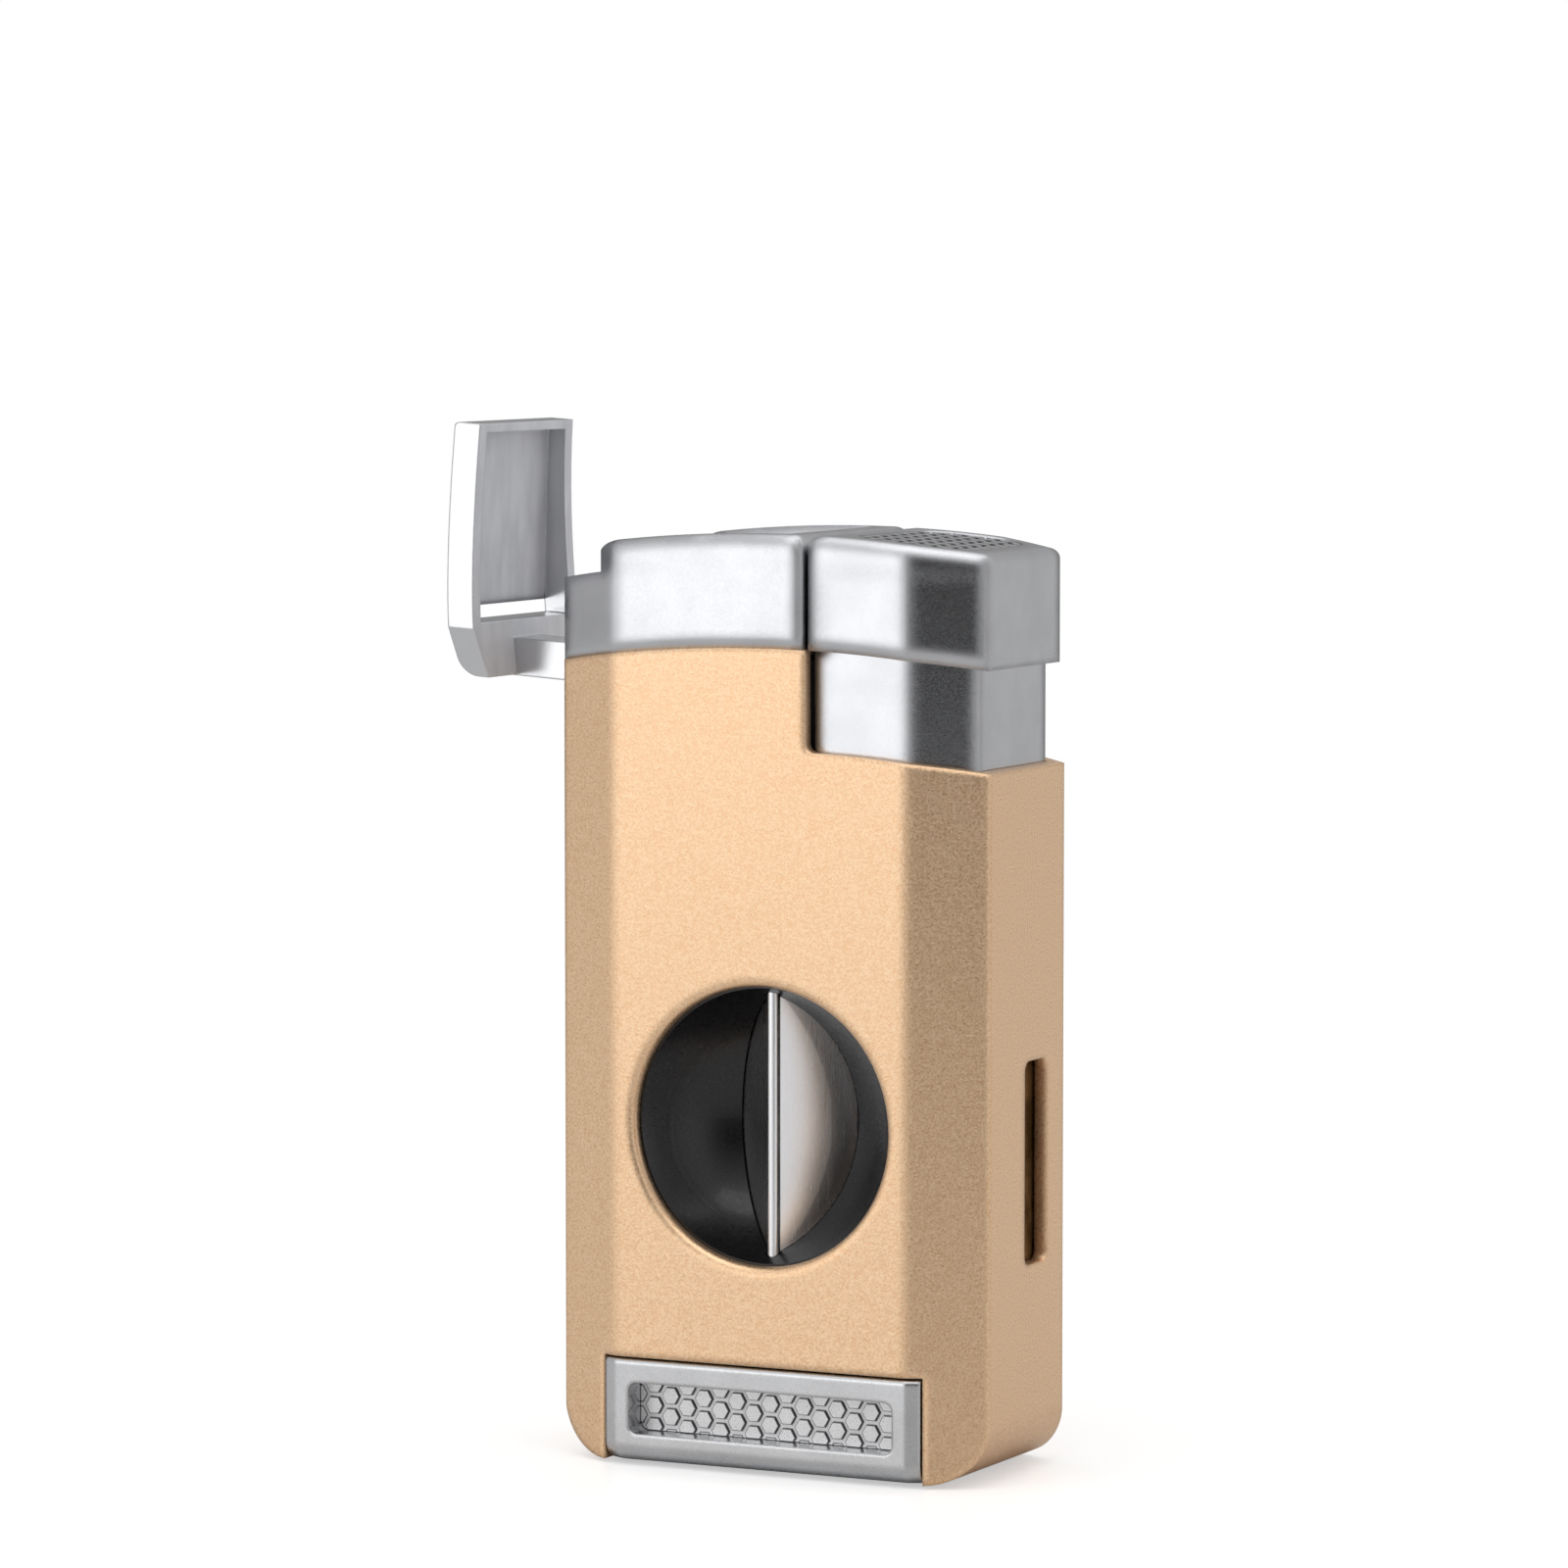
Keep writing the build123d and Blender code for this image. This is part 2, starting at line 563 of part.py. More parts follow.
with BuildPart() as cutter_pull:
    with BuildSketch(Plane.XY):
        Polygon(*octagon_points(0), align=None)
    extrude(amount=PULL_TOP)
    with Locations((0, PULL_BACK_Y, 0)):
        Box(2 * WIDTH, 2 * DEPTH, 3 * PULL_TOP, align=(Align.CENTER, Align.MIN, Align.CENTER),
            mode=Mode.SUBTRACT)
    for side in (-1, 1):
        with Locations((side * PULL_HALF, 0, 0)):
            Box(WIDTH, 2 * DEPTH, 3 * PULL_TOP,
                align=(Align.MIN if side > 0 else Align.MAX, Align.CENTER, Align.CENTER), mode=Mode.SUBTRACT)
    fillet(front_edges(cutter_pull.edges().group_by(Axis.Z)[0]), 1.6)
    fillet(front_edges(cutter_pull.edges().group_by(Axis.Z)[-1]), 0.4)
    with BuildSketch(Plane.XZ.offset(DEPTH)):
        with Locations((0, (WINDOW_LOW + WINDOW_TOP) / 2)):
            RectangleRounded(2 * WINDOW_HALF, WINDOW_TOP - WINDOW_LOW, 0.8)
    extrude(amount=-DEPTH, mode=Mode.SUBTRACT)
    with Locations(*[Location((side * RIVET_X, PULL_BACK_Y, RIVET_Z), (90, 0, 0)) for side in (-1, 1)]):
        Cylinder(RIVET_R, RIVET_LENGTH, mode=Mode.SUBTRACT)
save(cutter_pull.part, "cutter_pull")

with BuildPart() as pull_grip:
    with Locations((0, PULL_BACK_Y, (GRIP_LOW + GRIP_TOP) / 2)):
        Box(2 * GRIP_HALF, GRIP_PLATE, GRIP_TOP - GRIP_LOW, align=(Align.CENTER, Align.MIN, Align.CENTER))
    with BuildSketch(Plane.XZ.offset(-PULL_BACK_Y)):
        with Locations((0, (WINDOW_LOW + WINDOW_TOP) / 2)):
            RectangleRounded(2 * WINDOW_HALF - 0.1, WINDOW_TOP - WINDOW_LOW - 0.1, 0.75)
    extrude(amount=HEX_PANEL)
    with BuildSketch(Plane.XZ.offset(-PULL_BACK_Y + HEX_PANEL)):
        with Locations(*[(x, (WINDOW_LOW + WINDOW_TOP) / 2 + y) for x, y in hex_centres(7)]):
            RegularPolygon(HEX_FLATS / 2, 6, major_radius=False)
        with Locations((0, (WINDOW_LOW + WINDOW_TOP) / 2)):
            Rectangle(2 * WINDOW_HALF - 0.5, WINDOW_TOP - WINDOW_LOW - 0.2, mode=Mode.INTERSECT)
    extrude(amount=HEX_RISE)
save(pull_grip.part, "pull_grip")

# ================= Head housing =================


def crown_block(x0, x1, low, crown, inset):
    """A solid with the body outline in plan between x0 and x1, from low up to a crown arc."""
    with BuildPart() as block:
        with BuildSketch(Plane.XY.offset(low - 1)):
            Polygon(*octagon_points(inset), align=None)
        extrude(amount=crown - low + 2)
        with BuildSketch(Plane.XZ):
            with BuildLine():
                crown_profile(x0, x1, low, crown)
            make_face()
        extrude(amount=2 * DEPTH, both=True, mode=Mode.INTERSECT)
    return block.part


def lid_block(gap, x0, x1, low, high):
    """A solid with the plan of the lid moved out by gap, cut between x0 and x1."""
    front = [(x, -y - gap) for x, y in LID_HALF_WIDTHS]
    back = [(x, y + gap) for x, y in reversed(LID_HALF_WIDTHS)]
    with BuildPart() as block:
        with BuildSketch(Plane.XY.offset(low)):
            with BuildLine():
                Spline(*front)
                Polyline(front[-1], (-WIDTH, front[-1][1]), (-WIDTH, back[0][1]), back[0])
                Spline(*back)
                Polyline(back[-1], (WIDTH, back[-1][1]), (WIDTH, front[0][1]), front[0])
            make_face()
        extrude(amount=high - low)
        with Locations((x0, 0, low)):
            Box(x1 - x0, WIDTH, high - low, align=(Align.MIN, Align.CENTER, Align.MIN), mode=Mode.INTERSECT)
    return block.part


OUTER_SLACK = -6
with BuildPart() as lid_pocket:
    add(lid_block(LID_GAP, -WIDTH, LID_RIGHT + 0.15, HEAD_LOW, HEAD_CROWN + 4))
    add(crown_block(-WIDTH / 2 - 4, WIDTH / 2, HEAD_LOW - 5, HEAD_CROWN - LID_DROP - LID_SEAT, OUTER_SLACK),
        mode=Mode.SUBTRACT)

with BuildPart() as head_housing:
    add(crown_block(-WIDTH / 2 + HEAD_INSET, HEAD_RIGHT, HEAD_LOW, HEAD_CROWN, HEAD_INSET))
    fillet(head_housing.faces().sort_by(Axis.Z)[-1].edges(), CROWN_SOFT)
    add(crown_block(-WIDTH / 2 - 4, WIDTH / 2, HEAD_LOW - 10, BODY_CROWN, OUTER_SLACK), mode=Mode.SUBTRACT)
    add(lid_pocket.part, mode=Mode.SUBTRACT)
    # Burner chamber
    with Locations(((CHAMBER_X0 + CHAMBER_X1) / 2, 0, HEAD_LOW)):
        Box(CHAMBER_X1 - CHAMBER_X0, 2 * CHAMBER_HALF, 20, align=(Align.CENTER, Align.CENTER, Align.MIN),
            mode=Mode.SUBTRACT)
    # Channel for the lid arm
    with Locations((-WIDTH / 2 - 1, 0, HEAD_LOW)):
        Box(CHANNEL_X + WIDTH / 2 + 1, 2 * ARM_HALF + 0.4, 20, align=(Align.MIN, Align.CENTER, Align.MIN),
            mode=Mode.SUBTRACT)
    # Pocket for the lid catch in the right end wall
    with Locations((LID_RIGHT + 0.1, 0, CATCH_LOW)):
        Box(0.75, 2 * CATCH_HALF + 0.2, CATCH_TOP - CATCH_LOW, align=(Align.MIN, Align.CENTER, Align.MIN),
            mode=Mode.SUBTRACT)
    # Hinge lugs either side of the arm
    with BuildSketch(Plane.XZ.offset(-LUG_OUT)):
        with Locations((HINGE_X, HINGE_Z)):
            Circle(KNUCKLE_R)
        with Locations((HINGE_X - KNUCKLE_R, HINGE_Z)):
            Rectangle(LUG_WIDE, LUG_TALL, align=(Align.MIN, Align.MIN))
    extrude(amount=2 * LUG_OUT)
    with Locations((-WIDTH / 2 - 1, 0, HEAD_LOW - 2)):
        Box(CHANNEL_X + WIDTH / 2 + 1, 2 * ARM_HALF + 0.4, 20, align=(Align.MIN, Align.CENTER, Align.MIN),
            mode=Mode.SUBTRACT)
    with Locations(Location((HINGE_X, 0, HINGE_Z), (90, 0, 0))):
        Cylinder(HINGE_PIN_R, 2 * LUG_OUT + 1, mode=Mode.SUBTRACT)
    # Blind holes for the chassis screws
    with Locations(*[(CHASSIS_SCREW_X, side * CHASSIS_SCREW_Y, BRACKET_TOP - 1) for side in (-1, 1)]):
        Cylinder(SCREW_R, 4.5, align=(Align.CENTER, Align.CENTER, Align.MIN), mode=Mode.SUBTRACT)
save(head_housing.part, "head_housing")

with BuildPart() as hinge_pin:
    with Locations(Location((HINGE_X, 0, HINGE_Z), (90, 0, 0))):
        Cylinder(HINGE_PIN_R, 2 * LUG_OUT)
save(hinge_pin.part, "hinge_pin")

# ================= Lid, drawn closed and then swung open about the hinge =================
with BuildPart() as lid:
    add(crown_block(-WIDTH / 2 + HEAD_INSET, LID_RIGHT, HEAD_CROWN - 6, HEAD_CROWN, HEAD_INSET))
    add(lid_block(0, -WIDTH, LID_RIGHT, HEAD_CROWN - 8, HEAD_CROWN + 2), mode=Mode.INTERSECT)
    fillet(lid.edges().filter_by(Axis.Y).sort_by(Axis.X)[0:2].sort_by(Axis.Z)[-1], LID_ROUND)
    fillet(lid.edges().filter_by(Axis.Y).sort_by(Axis.Z)[-1], EDGE_SOFT)
    add(crown_block(-WIDTH / 2 - 4, WIDTH / 2, HEAD_CROWN - 20, HEAD_CROWN - LID_DROP, OUTER_SLACK),
        mode=Mode.SUBTRACT)
    # Shallow hollow over the burner
    add(lid_block(-LID_SIDE, LID_ROOT_X, LID_RIGHT - LID_END, HEAD_CROWN - 8,
                  HEAD_CROWN - LID_DROP + LID_CAVITY), mode=Mode.SUBTRACT)
    # Arm down to the hinge
    with BuildSketch(Plane.XZ.offset(-ARM_HALF)):
        with BuildLine():
            Polyline((HINGE_X - KNUCKLE_R, HINGE_Z), (HINGE_X - KNUCKLE_R, ARM_ROOT_Z),
                     (ARM_IN_X, ARM_ROOT_Z), (ARM_IN_X, HINGE_Z + 0.6))
            RadiusArc((ARM_IN_X, HINGE_Z + 0.6), (HINGE_X, HINGE_Z - KNUCKLE_R), ARM_FOOT_R)
            RadiusArc((HINGE_X, HINGE_Z - KNUCKLE_R), (HINGE_X - KNUCKLE_R, HINGE_Z), KNUCKLE_R)
        make_face()
    extrude(amount=2 * ARM_HALF)
    with Locations(Location((HINGE_X, 0, HINGE_Z), (90, 0, 0))):
        Cylinder(HINGE_PIN_R + 0.04, 4 * ARM_HALF, mode=Mode.SUBTRACT)
    # Room for the torsion spring on the pin
    with Locations((HINGE_X, SPRING_Y0, HINGE_Z)):
        Box(6, ARM_HALF, 3.4, align=(Align.CENTER, Align.MIN, Align.CENTER), mode=Mode.SUBTRACT)
LID_TURN = Axis((HINGE_X, 0, HINGE_Z), (0, 1, 0))
save(lid.part.rotate(LID_TURN, -LID_OPEN), "lid")

with BuildPart() as lid_spring:
    with BuildLine() as spring_path:
        Helix(pitch=LID_COIL_PITCH, height=LID_COIL_LENGTH, radius=LID_COIL_R)
    with BuildSketch(Plane(origin=spring_path.line @ 0, z_dir=spring_path.line % 0)):
        Circle(LID_COIL_WIRE)
    sweep(path=spring_path.line, is_frenet=True)
save(lid_spring.part.moved(Location((HINGE_X, SPRING_Y0 + 1.5, HINGE_Z), (90, 0, 0))), "lid_spring")

with BuildPart() as lid_catch_spring:
    with BuildSketch(Plane.XZ.offset(-CATCH_HALF)):
        with BuildLine():
            Polyline((CATCH_FACE, CATCH_LOW + 0.1), (CATCH_BACK, CATCH_LOW + 0.1),
                     (CATCH_BACK, CATCH_TOP - 0.1),
                     (CATCH_FACE, CATCH_TOP - 0.1), (CATCH_FACE, CATCH_NOSE_Z + CATCH_NOSE_HALF),
                     (CATCH_NOSE, CATCH_NOSE_Z), (CATCH_FACE, CATCH_NOSE_Z - CATCH_NOSE_HALF), close=True)
        make_face()
    extrude(amount=2 * CATCH_HALF)
save(lid_catch_spring.part, "lid_catch_spring")

# ================= Thumb button =================
with BuildPart() as skirt_core:
    with BuildSketch(Plane.XY.offset(SKIRT_LOW)):
        Polygon(*octagon_points(SKIRT_INSET), align=None)
        with Locations((SKIRT_LEFT, 0)):
            Rectangle(WIDTH, DEPTH, align=(Align.MIN, Align.CENTER), mode=Mode.INTERSECT)
    extrude(amount=SKIRT_TOP - SKIRT_LOW)
    fillet(skirt_core.edges().filter_by(Axis.Z), 0.3)
    # The left wall stops under the cap
    with Locations((SKIRT_STEP_X, 0, SKIRT_STEP_Z)):
        Box(WIDTH, WIDTH, WIDTH, align=(Align.MAX, Align.CENTER, Align.MIN), mode=Mode.SUBTRACT)

with BuildPart() as grip_hole:
    with BuildSketch(Plane.XY.offset(HEAD_CROWN - 6)):
        with Locations((GRIP_X, 0)):
            RectangleRounded(*GRIP_SIZE, GRIP_CORNER)
    extrude(amount=10)
    add(crown_block(-WIDTH / 2, WIDTH / 2, HEAD_CROWN - 10, HEAD_CROWN - GRIP_SINK, OUTER_SLACK),
        mode=Mode.SUBTRACT)

with BuildPart() as button_cap:
    add(crown_block(CAP_LEFT, WIDTH / 2 - CAP_INSET, HEAD_LOW, HEAD_CROWN, CAP_INSET))
    fillet(button_cap.faces().sort_by(Axis.Z)[-1].edges(), CROWN_SOFT)
    add(crown_block(-WIDTH / 2 - 4, WIDTH / 2, HEAD_LOW - 10, BODY_CROWN, OUTER_SLACK), mode=Mode.SUBTRACT)
    add(skirt_core.part, mode=Mode.SUBTRACT)
    add(grip_hole.part, mode=Mode.SUBTRACT)
save(button_cap.part, "button_cap")

with BuildPart() as button_skirt:
    add(skirt_core.part)
    with BuildSketch(Plane.XY.offset(SKIRT_LOW)):
        Polygon(*octagon_points(SKIRT_INSET + SKIRT_WALL), align=None)
        with Locations((SKIRT_LEFT + SKIRT_WALL, 0)):
            Rectangle(WIDTH, DEPTH, align=(Align.MIN, Align.CENTER), mode=Mode.INTERSECT)
    extrude(amount=SKIRT_TOP - SKIRT_LOW, mode=Mode.SUBTRACT)
    # Sloping rib that works the gas lever
    with BuildSketch(Plane.XZ.offset(-VALVE_Y - 1.2)):
        with BuildLine():
            Polyline((SKIRT_LEFT + 0.5, RIB_LOW), (SKIRT_LEFT - 0.15, RIB_LOW),
                     (SKIRT_LEFT - RIB_RISE, RIB_TOP), (SKIRT_LEFT + 0.5, RIB_TOP), close=True)
        make_face()
    extrude(amount=2.4)
save(button_skirt.part, "button_skirt")

with BuildPart() as button_grip:
    with BuildSketch(Plane.XY.offset(HEAD_CROWN - 6)):
        with Locations((GRIP_X, 0)):
            RectangleRounded(*GRIP_SIZE, GRIP_CORNER)
    extrude(amount=10)
    add(crown_block(-WIDTH / 2, WIDTH / 2, HEAD_CROWN - 10, HEAD_CROWN - GRIP_FIELD_DROP, OUTER_SLACK),
        mode=Mode.INTERSECT)
    with BuildSketch(Plane.XY.offset(HEAD_CROWN - 6)):
        with Locations((GRIP_X, 0)):
            with HexLocations(GRIP_HEX_PITCH, *GRIP_HEX_COUNT):
                RegularPolygon(HEX_FLATS / 2, 6, major_radius=False, rotation=30)
        with Locations((GRIP_X, 0)):
            RectangleRounded(GRIP_SIZE[0] - 0.5, GRIP_SIZE[1] - 0.5, GRIP_CORNER - 0.25, mode=Mode.INTERSECT)
    extrude(amount=10)
    add(crown_block(-WIDTH / 2, WIDTH / 2, HEAD_CROWN - 10, HEAD_CROWN - GRIP_CELL_DROP, OUTER_SLACK),
        mode=Mode.INTERSECT)
    add(crown_block(-WIDTH / 2, WIDTH / 2, HEAD_CROWN - 12, HEAD_CROWN - GRIP_SINK, OUTER_SLACK),
        mode=Mode.SUBTRACT)
save(button_grip.part, "button_grip")

# ================= Piezo igniter =================
with BuildPart() as piezo_body:
    with Locations((PIEZO_X, 0, DECK_TOP)):
        Box(*PIEZO_SIZE, PIEZO_TOP - DECK_TOP, align=(Align.CENTER, Align.CENTER, Align.MIN))
    with Locations((PIEZO_X, 0, DECK_TOP + 1.2)):
        Box(PLUNGER_SIZE[0] + 0.1, PLUNGER_SIZE[1] + 0.1, PIEZO_TOP,
            align=(Align.CENTER, Align.CENTER, Align.MIN), mode=Mode.SUBTRACT)
save(piezo_body.part, "piezo_body")

with BuildPart() as piezo_plunger:
    with Locations((PIEZO_X, 0, PLUNGER_LOW)):
        Box(*PLUNGER_SIZE, SKIRT_TOP - PLUNGER_LOW, align=(Align.CENTER, Align.CENTER, Align.MIN))
    with Locations((PIEZO_X, 0, PLUNGER_DISC_LOW)):
        Cylinder(PLUNGER_DISC_R, SKIRT_TOP - PLUNGER_DISC_LOW, align=(Align.CENTER, Align.CENTER, Align.MIN))
save(piezo_plunger.part, "piezo_plunger")
BUTTON_COIL = coil(BUTTON_COIL_R, BUTTON_COIL_WIRE, DECK_TOP, PLUNGER_DISC_LOW, BUTTON_COIL_TURNS)
save(BUTTON_COIL.moved(Location((PIEZO_X, 0, 0))), "button_spring")

# ================= Chassis =================
with BuildPart() as chassis:
    with BuildSketch(Plane.XY.offset(DECK_LOW)):
        Polygon(*octagon_points(TANK_INSET), align=None)
    extrude(amount=DECK_TOP - DECK_LOW)
    with Locations((DIVIDER_X, 0, DECK_TOP)):
        Box(DIVIDER_WALL, 16.8, DIVIDER_TOP - DECK_TOP, align=(Align.MIN, Align.CENTER, Align.MIN))
    for side in (-1, 1):
        with Locations((DIVIDER_X, VALVE_Y + side * LEVER_LUG_Y, LEVER_Z)):
            Box(4.2, 0.8, 4.4, align=(Align.MAX, Align.CENTER, Align.CENTER))
        with Locations((CHASSIS_SCREW_X, side * CHASSIS_SCREW_Y, BRACKET_TOP)):
            Box(3, 2.4, 1.4, align=(Align.CENTER, Align.CENTER, Align.MAX))
        with Locations((CHASSIS_SCREW_X + 1.5, side * CHASSIS_SCREW_Y, DECK_TOP)):
            Box(0.8, 2.4, BRACKET_TOP - DECK_TOP, align=(Align.MIN, Align.CENTER, Align.MIN))
        with Locations((CHASSIS_SCREW_X, side * CHASSIS_SCREW_Y, BRACKET_TOP - 1)):
            Cylinder(SCREW_R, 4, mode=Mode.SUBTRACT)
    with Locations((DIVIDER_X, VALVE_Y, 55)):
        Box(4, 2 * LEVER_HALF + 0.4, 15, mode=Mode.SUBTRACT)
    with Locations(Location((LEVER_X, VALVE_Y, LEVER_Z), (90, 0, 0))):
        Cylinder(LEVER_PIN_R, 8, mode=Mode.SUBTRACT)
    with Locations((VALVE_X, VALVE_Y, DECK_LOW)):
        Cylinder(VALVE_R + 0.1, 6, mode=Mode.SUBTRACT)
    # Channel for the ignition wire
    with Locations((DIVIDER_X, WIRE_Y, WIRE_Z)):
        Box(12, 1.0, 1.3, mode=Mode.SUBTRACT)
save(chassis.part, "chassis")

CHASSIS_SCREW = screw_blank(CHASSIS_SCREW_LENGTH)
CHASSIS_SCREW_SPOTS = [Location((CHASSIS_SCREW_X, side * CHASSIS_SCREW_Y, BRACKET_TOP - 2.0))
                       for side in (-1, 1)]
save(Compound(children=[CHASSIS_SCREW.moved(spot) for spot in CHASSIS_SCREW_SPOTS]), "chassis_screws")

# ================= Gas valve and lever =================
with BuildPart() as valve_body:
    with Locations((VALVE_X, VALVE_Y, TANK_TOP - 3)):
        Cylinder(VALVE_NECK_R - 0.02, 4.4, align=(Align.CENTER, Align.CENTER, Align.MIN))
    with Locations((VALVE_X, VALVE_Y, DECK_LOW)):
        Cylinder(VALVE_R, VALVE_TOP - DECK_LOW, align=(Align.CENTER, Align.CENTER, Align.MIN))
    with Locations(Location((VALVE_X - VALVE_R + 0.4, VALVE_Y, PORT_Z), (0, -90, 0))):
        Cylinder(PORT_R, 2.0, align=(Align.CENTER, Align.CENTER, Align.MIN))
    with Locations((VALVE_X, VALVE_Y, TANK_TOP)):
        Cylinder(STEM_R + 0.06, 30, align=(Align.CENTER, Align.CENTER, Align.MIN), mode=Mode.SUBTRACT)
save(valve_body.part, "valve_body")

with BuildPart() as valve_seal:
    with BuildSketch(Plane.XZ.offset(-VALVE_Y)):
        with Locations((VALVE_X + STEM_R + SEAL_WIRE + 0.06, VALVE_TOP + SEAL_WIRE + 0.01)):
            Circle(SEAL_WIRE)
    revolve(axis=Axis((VALVE_X, VALVE_Y, 0), (0, 0, 1)))
save(valve_seal.part, "valve_seal")

with BuildPart() as valve_stem:
    with Locations((VALVE_X, VALVE_Y, 48)):
        Cylinder(STEM_R, STEM_TOP - 48, align=(Align.CENTER, Align.CENTER, Align.MIN))
    with Locations((VALVE_X, VALVE_Y, STEM_TOP)):
        Cylinder(1.8, 1.0, align=(Align.CENTER, Align.CENTER, Align.MAX))
save(valve_stem.part, "valve_stem")

with BuildPart() as gas_lever:
    with BuildSketch(Plane.XZ.offset(-VALVE_Y - LEVER_HALF)):
        with Locations((LEVER_X, LEVER_Z)):
            Circle(1.5)
        with Locations((LEVER_X, LEVER_Z)):
            Rectangle(LEVER_X - VALVE_X + 1.6, 1.3, align=(Align.MAX, Align.CENTER))
        with BuildLine():
            Polyline((LEVER_X - 0.9, LEVER_Z), (LEVER_X + 0.9, LEVER_Z), (LEVER_X + 0.9, NUB_Z + 0.9),
                     (NUB_X, NUB_Z + 0.5), (NUB_X, NUB_Z - 0.5), (LEVER_X - 0.5, NUB_Z - 0.5), close=True)
        make_face()
    extrude(amount=2 * LEVER_HALF)
    with Locations(Location((LEVER_X, VALVE_Y, LEVER_Z), (90, 0, 0))):
        Cylinder(LEVER_PIN_R + 0.05, 8, mode=Mode.SUBTRACT)
    with Locations((VALVE_X + 1.1, VALVE_Y, LEVER_Z)):
        Box(4, 2 * STEM_R + 0.4, 4, align=(Align.MAX, Align.CENTER, Align.CENTER), mode=Mode.SUBTRACT)
save(gas_lever.part, "gas_lever")

with BuildPart() as lever_pin:
    with Locations(Location((LEVER_X, VALVE_Y, LEVER_Z), (90, 0, 0))):
        Cylinder(LEVER_PIN_R, 2 * LEVER_LUG_Y + 0.8)
save(lever_pin.part, "lever_pin")

# ================= Burner =================


def rod(points, radius):
    """A bent round rod through the given points."""
    with BuildPart() as bar:
        with BuildLine() as path:
            Spline(*points)
        with BuildSketch(Plane(origin=path.line @ 0, z_dir=path.line % 0)):
            Circle(radius)
        sweep(path=path.line)
    return bar.part


PORT_X = VALVE_X - VALVE_R
with BuildPart() as gas_hose:
    add(rod([(PORT_X - 0.05, VALVE_Y, PORT_Z), (PORT_X - 1.2, VALVE_Y, PORT_Z),
             (HOSE_X, VALVE_Y - 0.4, PORT_Z + 2), (HOSE_X, VALVE_Y - 2.3, PORT_Z + 9),
             (JET_XS[0] - 0.3, 0.1, BURNER_LOW - 2), (JET_XS[0], 0, BURNER_LOW - 0.1)], HOSE_R))
    with Locations(Location((PORT_X + 0.2, VALVE_Y, PORT_Z), (0, -90, 0))):
        Cylinder(PORT_R + 0.1, 1.9, align=(Align.CENTER, Align.CENTER, Align.MIN), mode=Mode.SUBTRACT)
save(gas_hose.part, "gas_hose")

with BuildPart() as burner_manifold:
    with Locations(((JET_XS[0] + JET_XS[2]) / 2, 0, BURNER_LOW)):
        Box(JET_XS[2] - JET_XS[0] + 4, BURNER_DEPTH, BURNER_TOP - BURNER_LOW,
            align=(Align.CENTER, Align.CENTER, Align.MIN))
    with Locations(*[(x, 0, BURNER_TOP) for x in JET_XS]):
        Cylinder(JET_R + 0.35, WIND_LOW - BURNER_TOP, align=(Align.CENTER, Align.CENTER, Align.MIN))
    with Locations(*[(x, 0, BURNER_TOP) for x in JET_XS]):
        Cylinder(JET_R, 10, align=(Align.CENTER, Align.CENTER, Align.MIN), mode=Mode.SUBTRACT)
save(burner_manifold.part, "burner_manifold")

with BuildPart() as jet_nozzles:
    with Locations(*[(x, 0, BURNER_TOP) for x in JET_XS]):
        Cylinder(JET_R, JET_TOP - BURNER_TOP, align=(Align.CENTER, Align.CENTER, Align.MIN))
        Cylinder(JET_R - 0.45, 10, align=(Align.CENTER, Align.CENTER, Align.MIN), mode=Mode.SUBTRACT)
save(jet_nozzles.part, "jet_nozzles")

with BuildPart() as jet_meshes:
    with Locations(*[(x, 0, JET_TOP - 1.4) for x in JET_XS]):
        Cylinder(JET_R - 0.45, 0.4)
        with PolarLocations(MESH_RING, MESH_HOLES):
            Cylinder(MESH_HOLE_R, 1, mode=Mode.SUBTRACT)
save(jet_meshes.part, "jet_meshes")

with BuildPart() as wind_plate:
    with Locations(((CHAMBER_X0 + CHAMBER_X1) / 2, 0, WIND_LOW)):
        Box(CHAMBER_X1 - CHAMBER_X0, 2 * CHAMBER_HALF, WIND_TOP - WIND_LOW,
            align=(Align.CENTER, Align.CENTER, Align.MIN))
    with Locations(*[(x, 0, WIND_LOW) for x in JET_XS]):
        Cylinder(JET_R + 0.02, 4, mode=Mode.SUBTRACT)
    with Locations((SPARK_X, SPARK_Y, WIND_LOW)):
        Cylinder(INSULATOR_R, 4, mode=Mode.SUBTRACT)
save(wind_plate.part, "wind_plate")

with BuildPart() as electrode_insulator:
    with Locations((SPARK_X, SPARK_Y, BURNER_LOW)):
        Cylinder(INSULATOR_R, SPARK_Z - BURNER_LOW, align=(Align.CENTER, Align.CENTER, Align.MIN))
        Cylinder(ELECTRODE_BORE, 20, mode=Mode.SUBTRACT)
save(electrode_insulator.part, "electrode_insulator")
ELECTRODE = rod([(SPARK_X, SPARK_Y, BURNER_LOW + 1), (SPARK_X, SPARK_Y, SPARK_Z - 3),
                 (SPARK_X, SPARK_Y, SPARK_Z - 1), (SPARK_X, SPARK_Y, SPARK_Z),
                 (SPARK_X - 0.2, SPARK_Y + 1.4, SPARK_Z + 1.3), (SPARK_X - 0.3, SPARK_Y + 2.6, SPARK_Z + 1.3)],
                ELECTRODE_R)
save(ELECTRODE, "ignition_electrode")
WIRE = rod([(PIEZO_X - 3.3, WIRE_Y, WIRE_Z), (PIEZO_X - 5, WIRE_Y, WIRE_Z), (DIVIDER_X + 1, WIRE_Y, WIRE_Z),
            (DIVIDER_X - 1, WIRE_Y, WIRE_Z + 0.6), (DIVIDER_X - 2.2, WIRE_Y - 1.5, WIRE_BEND_Z),
            (SPARK_X, SPARK_Y, BURNER_LOW - 1.5), (SPARK_X, SPARK_Y, BURNER_LOW - 0.03)], WIRE_R)
save(WIRE, "ignition_wire")
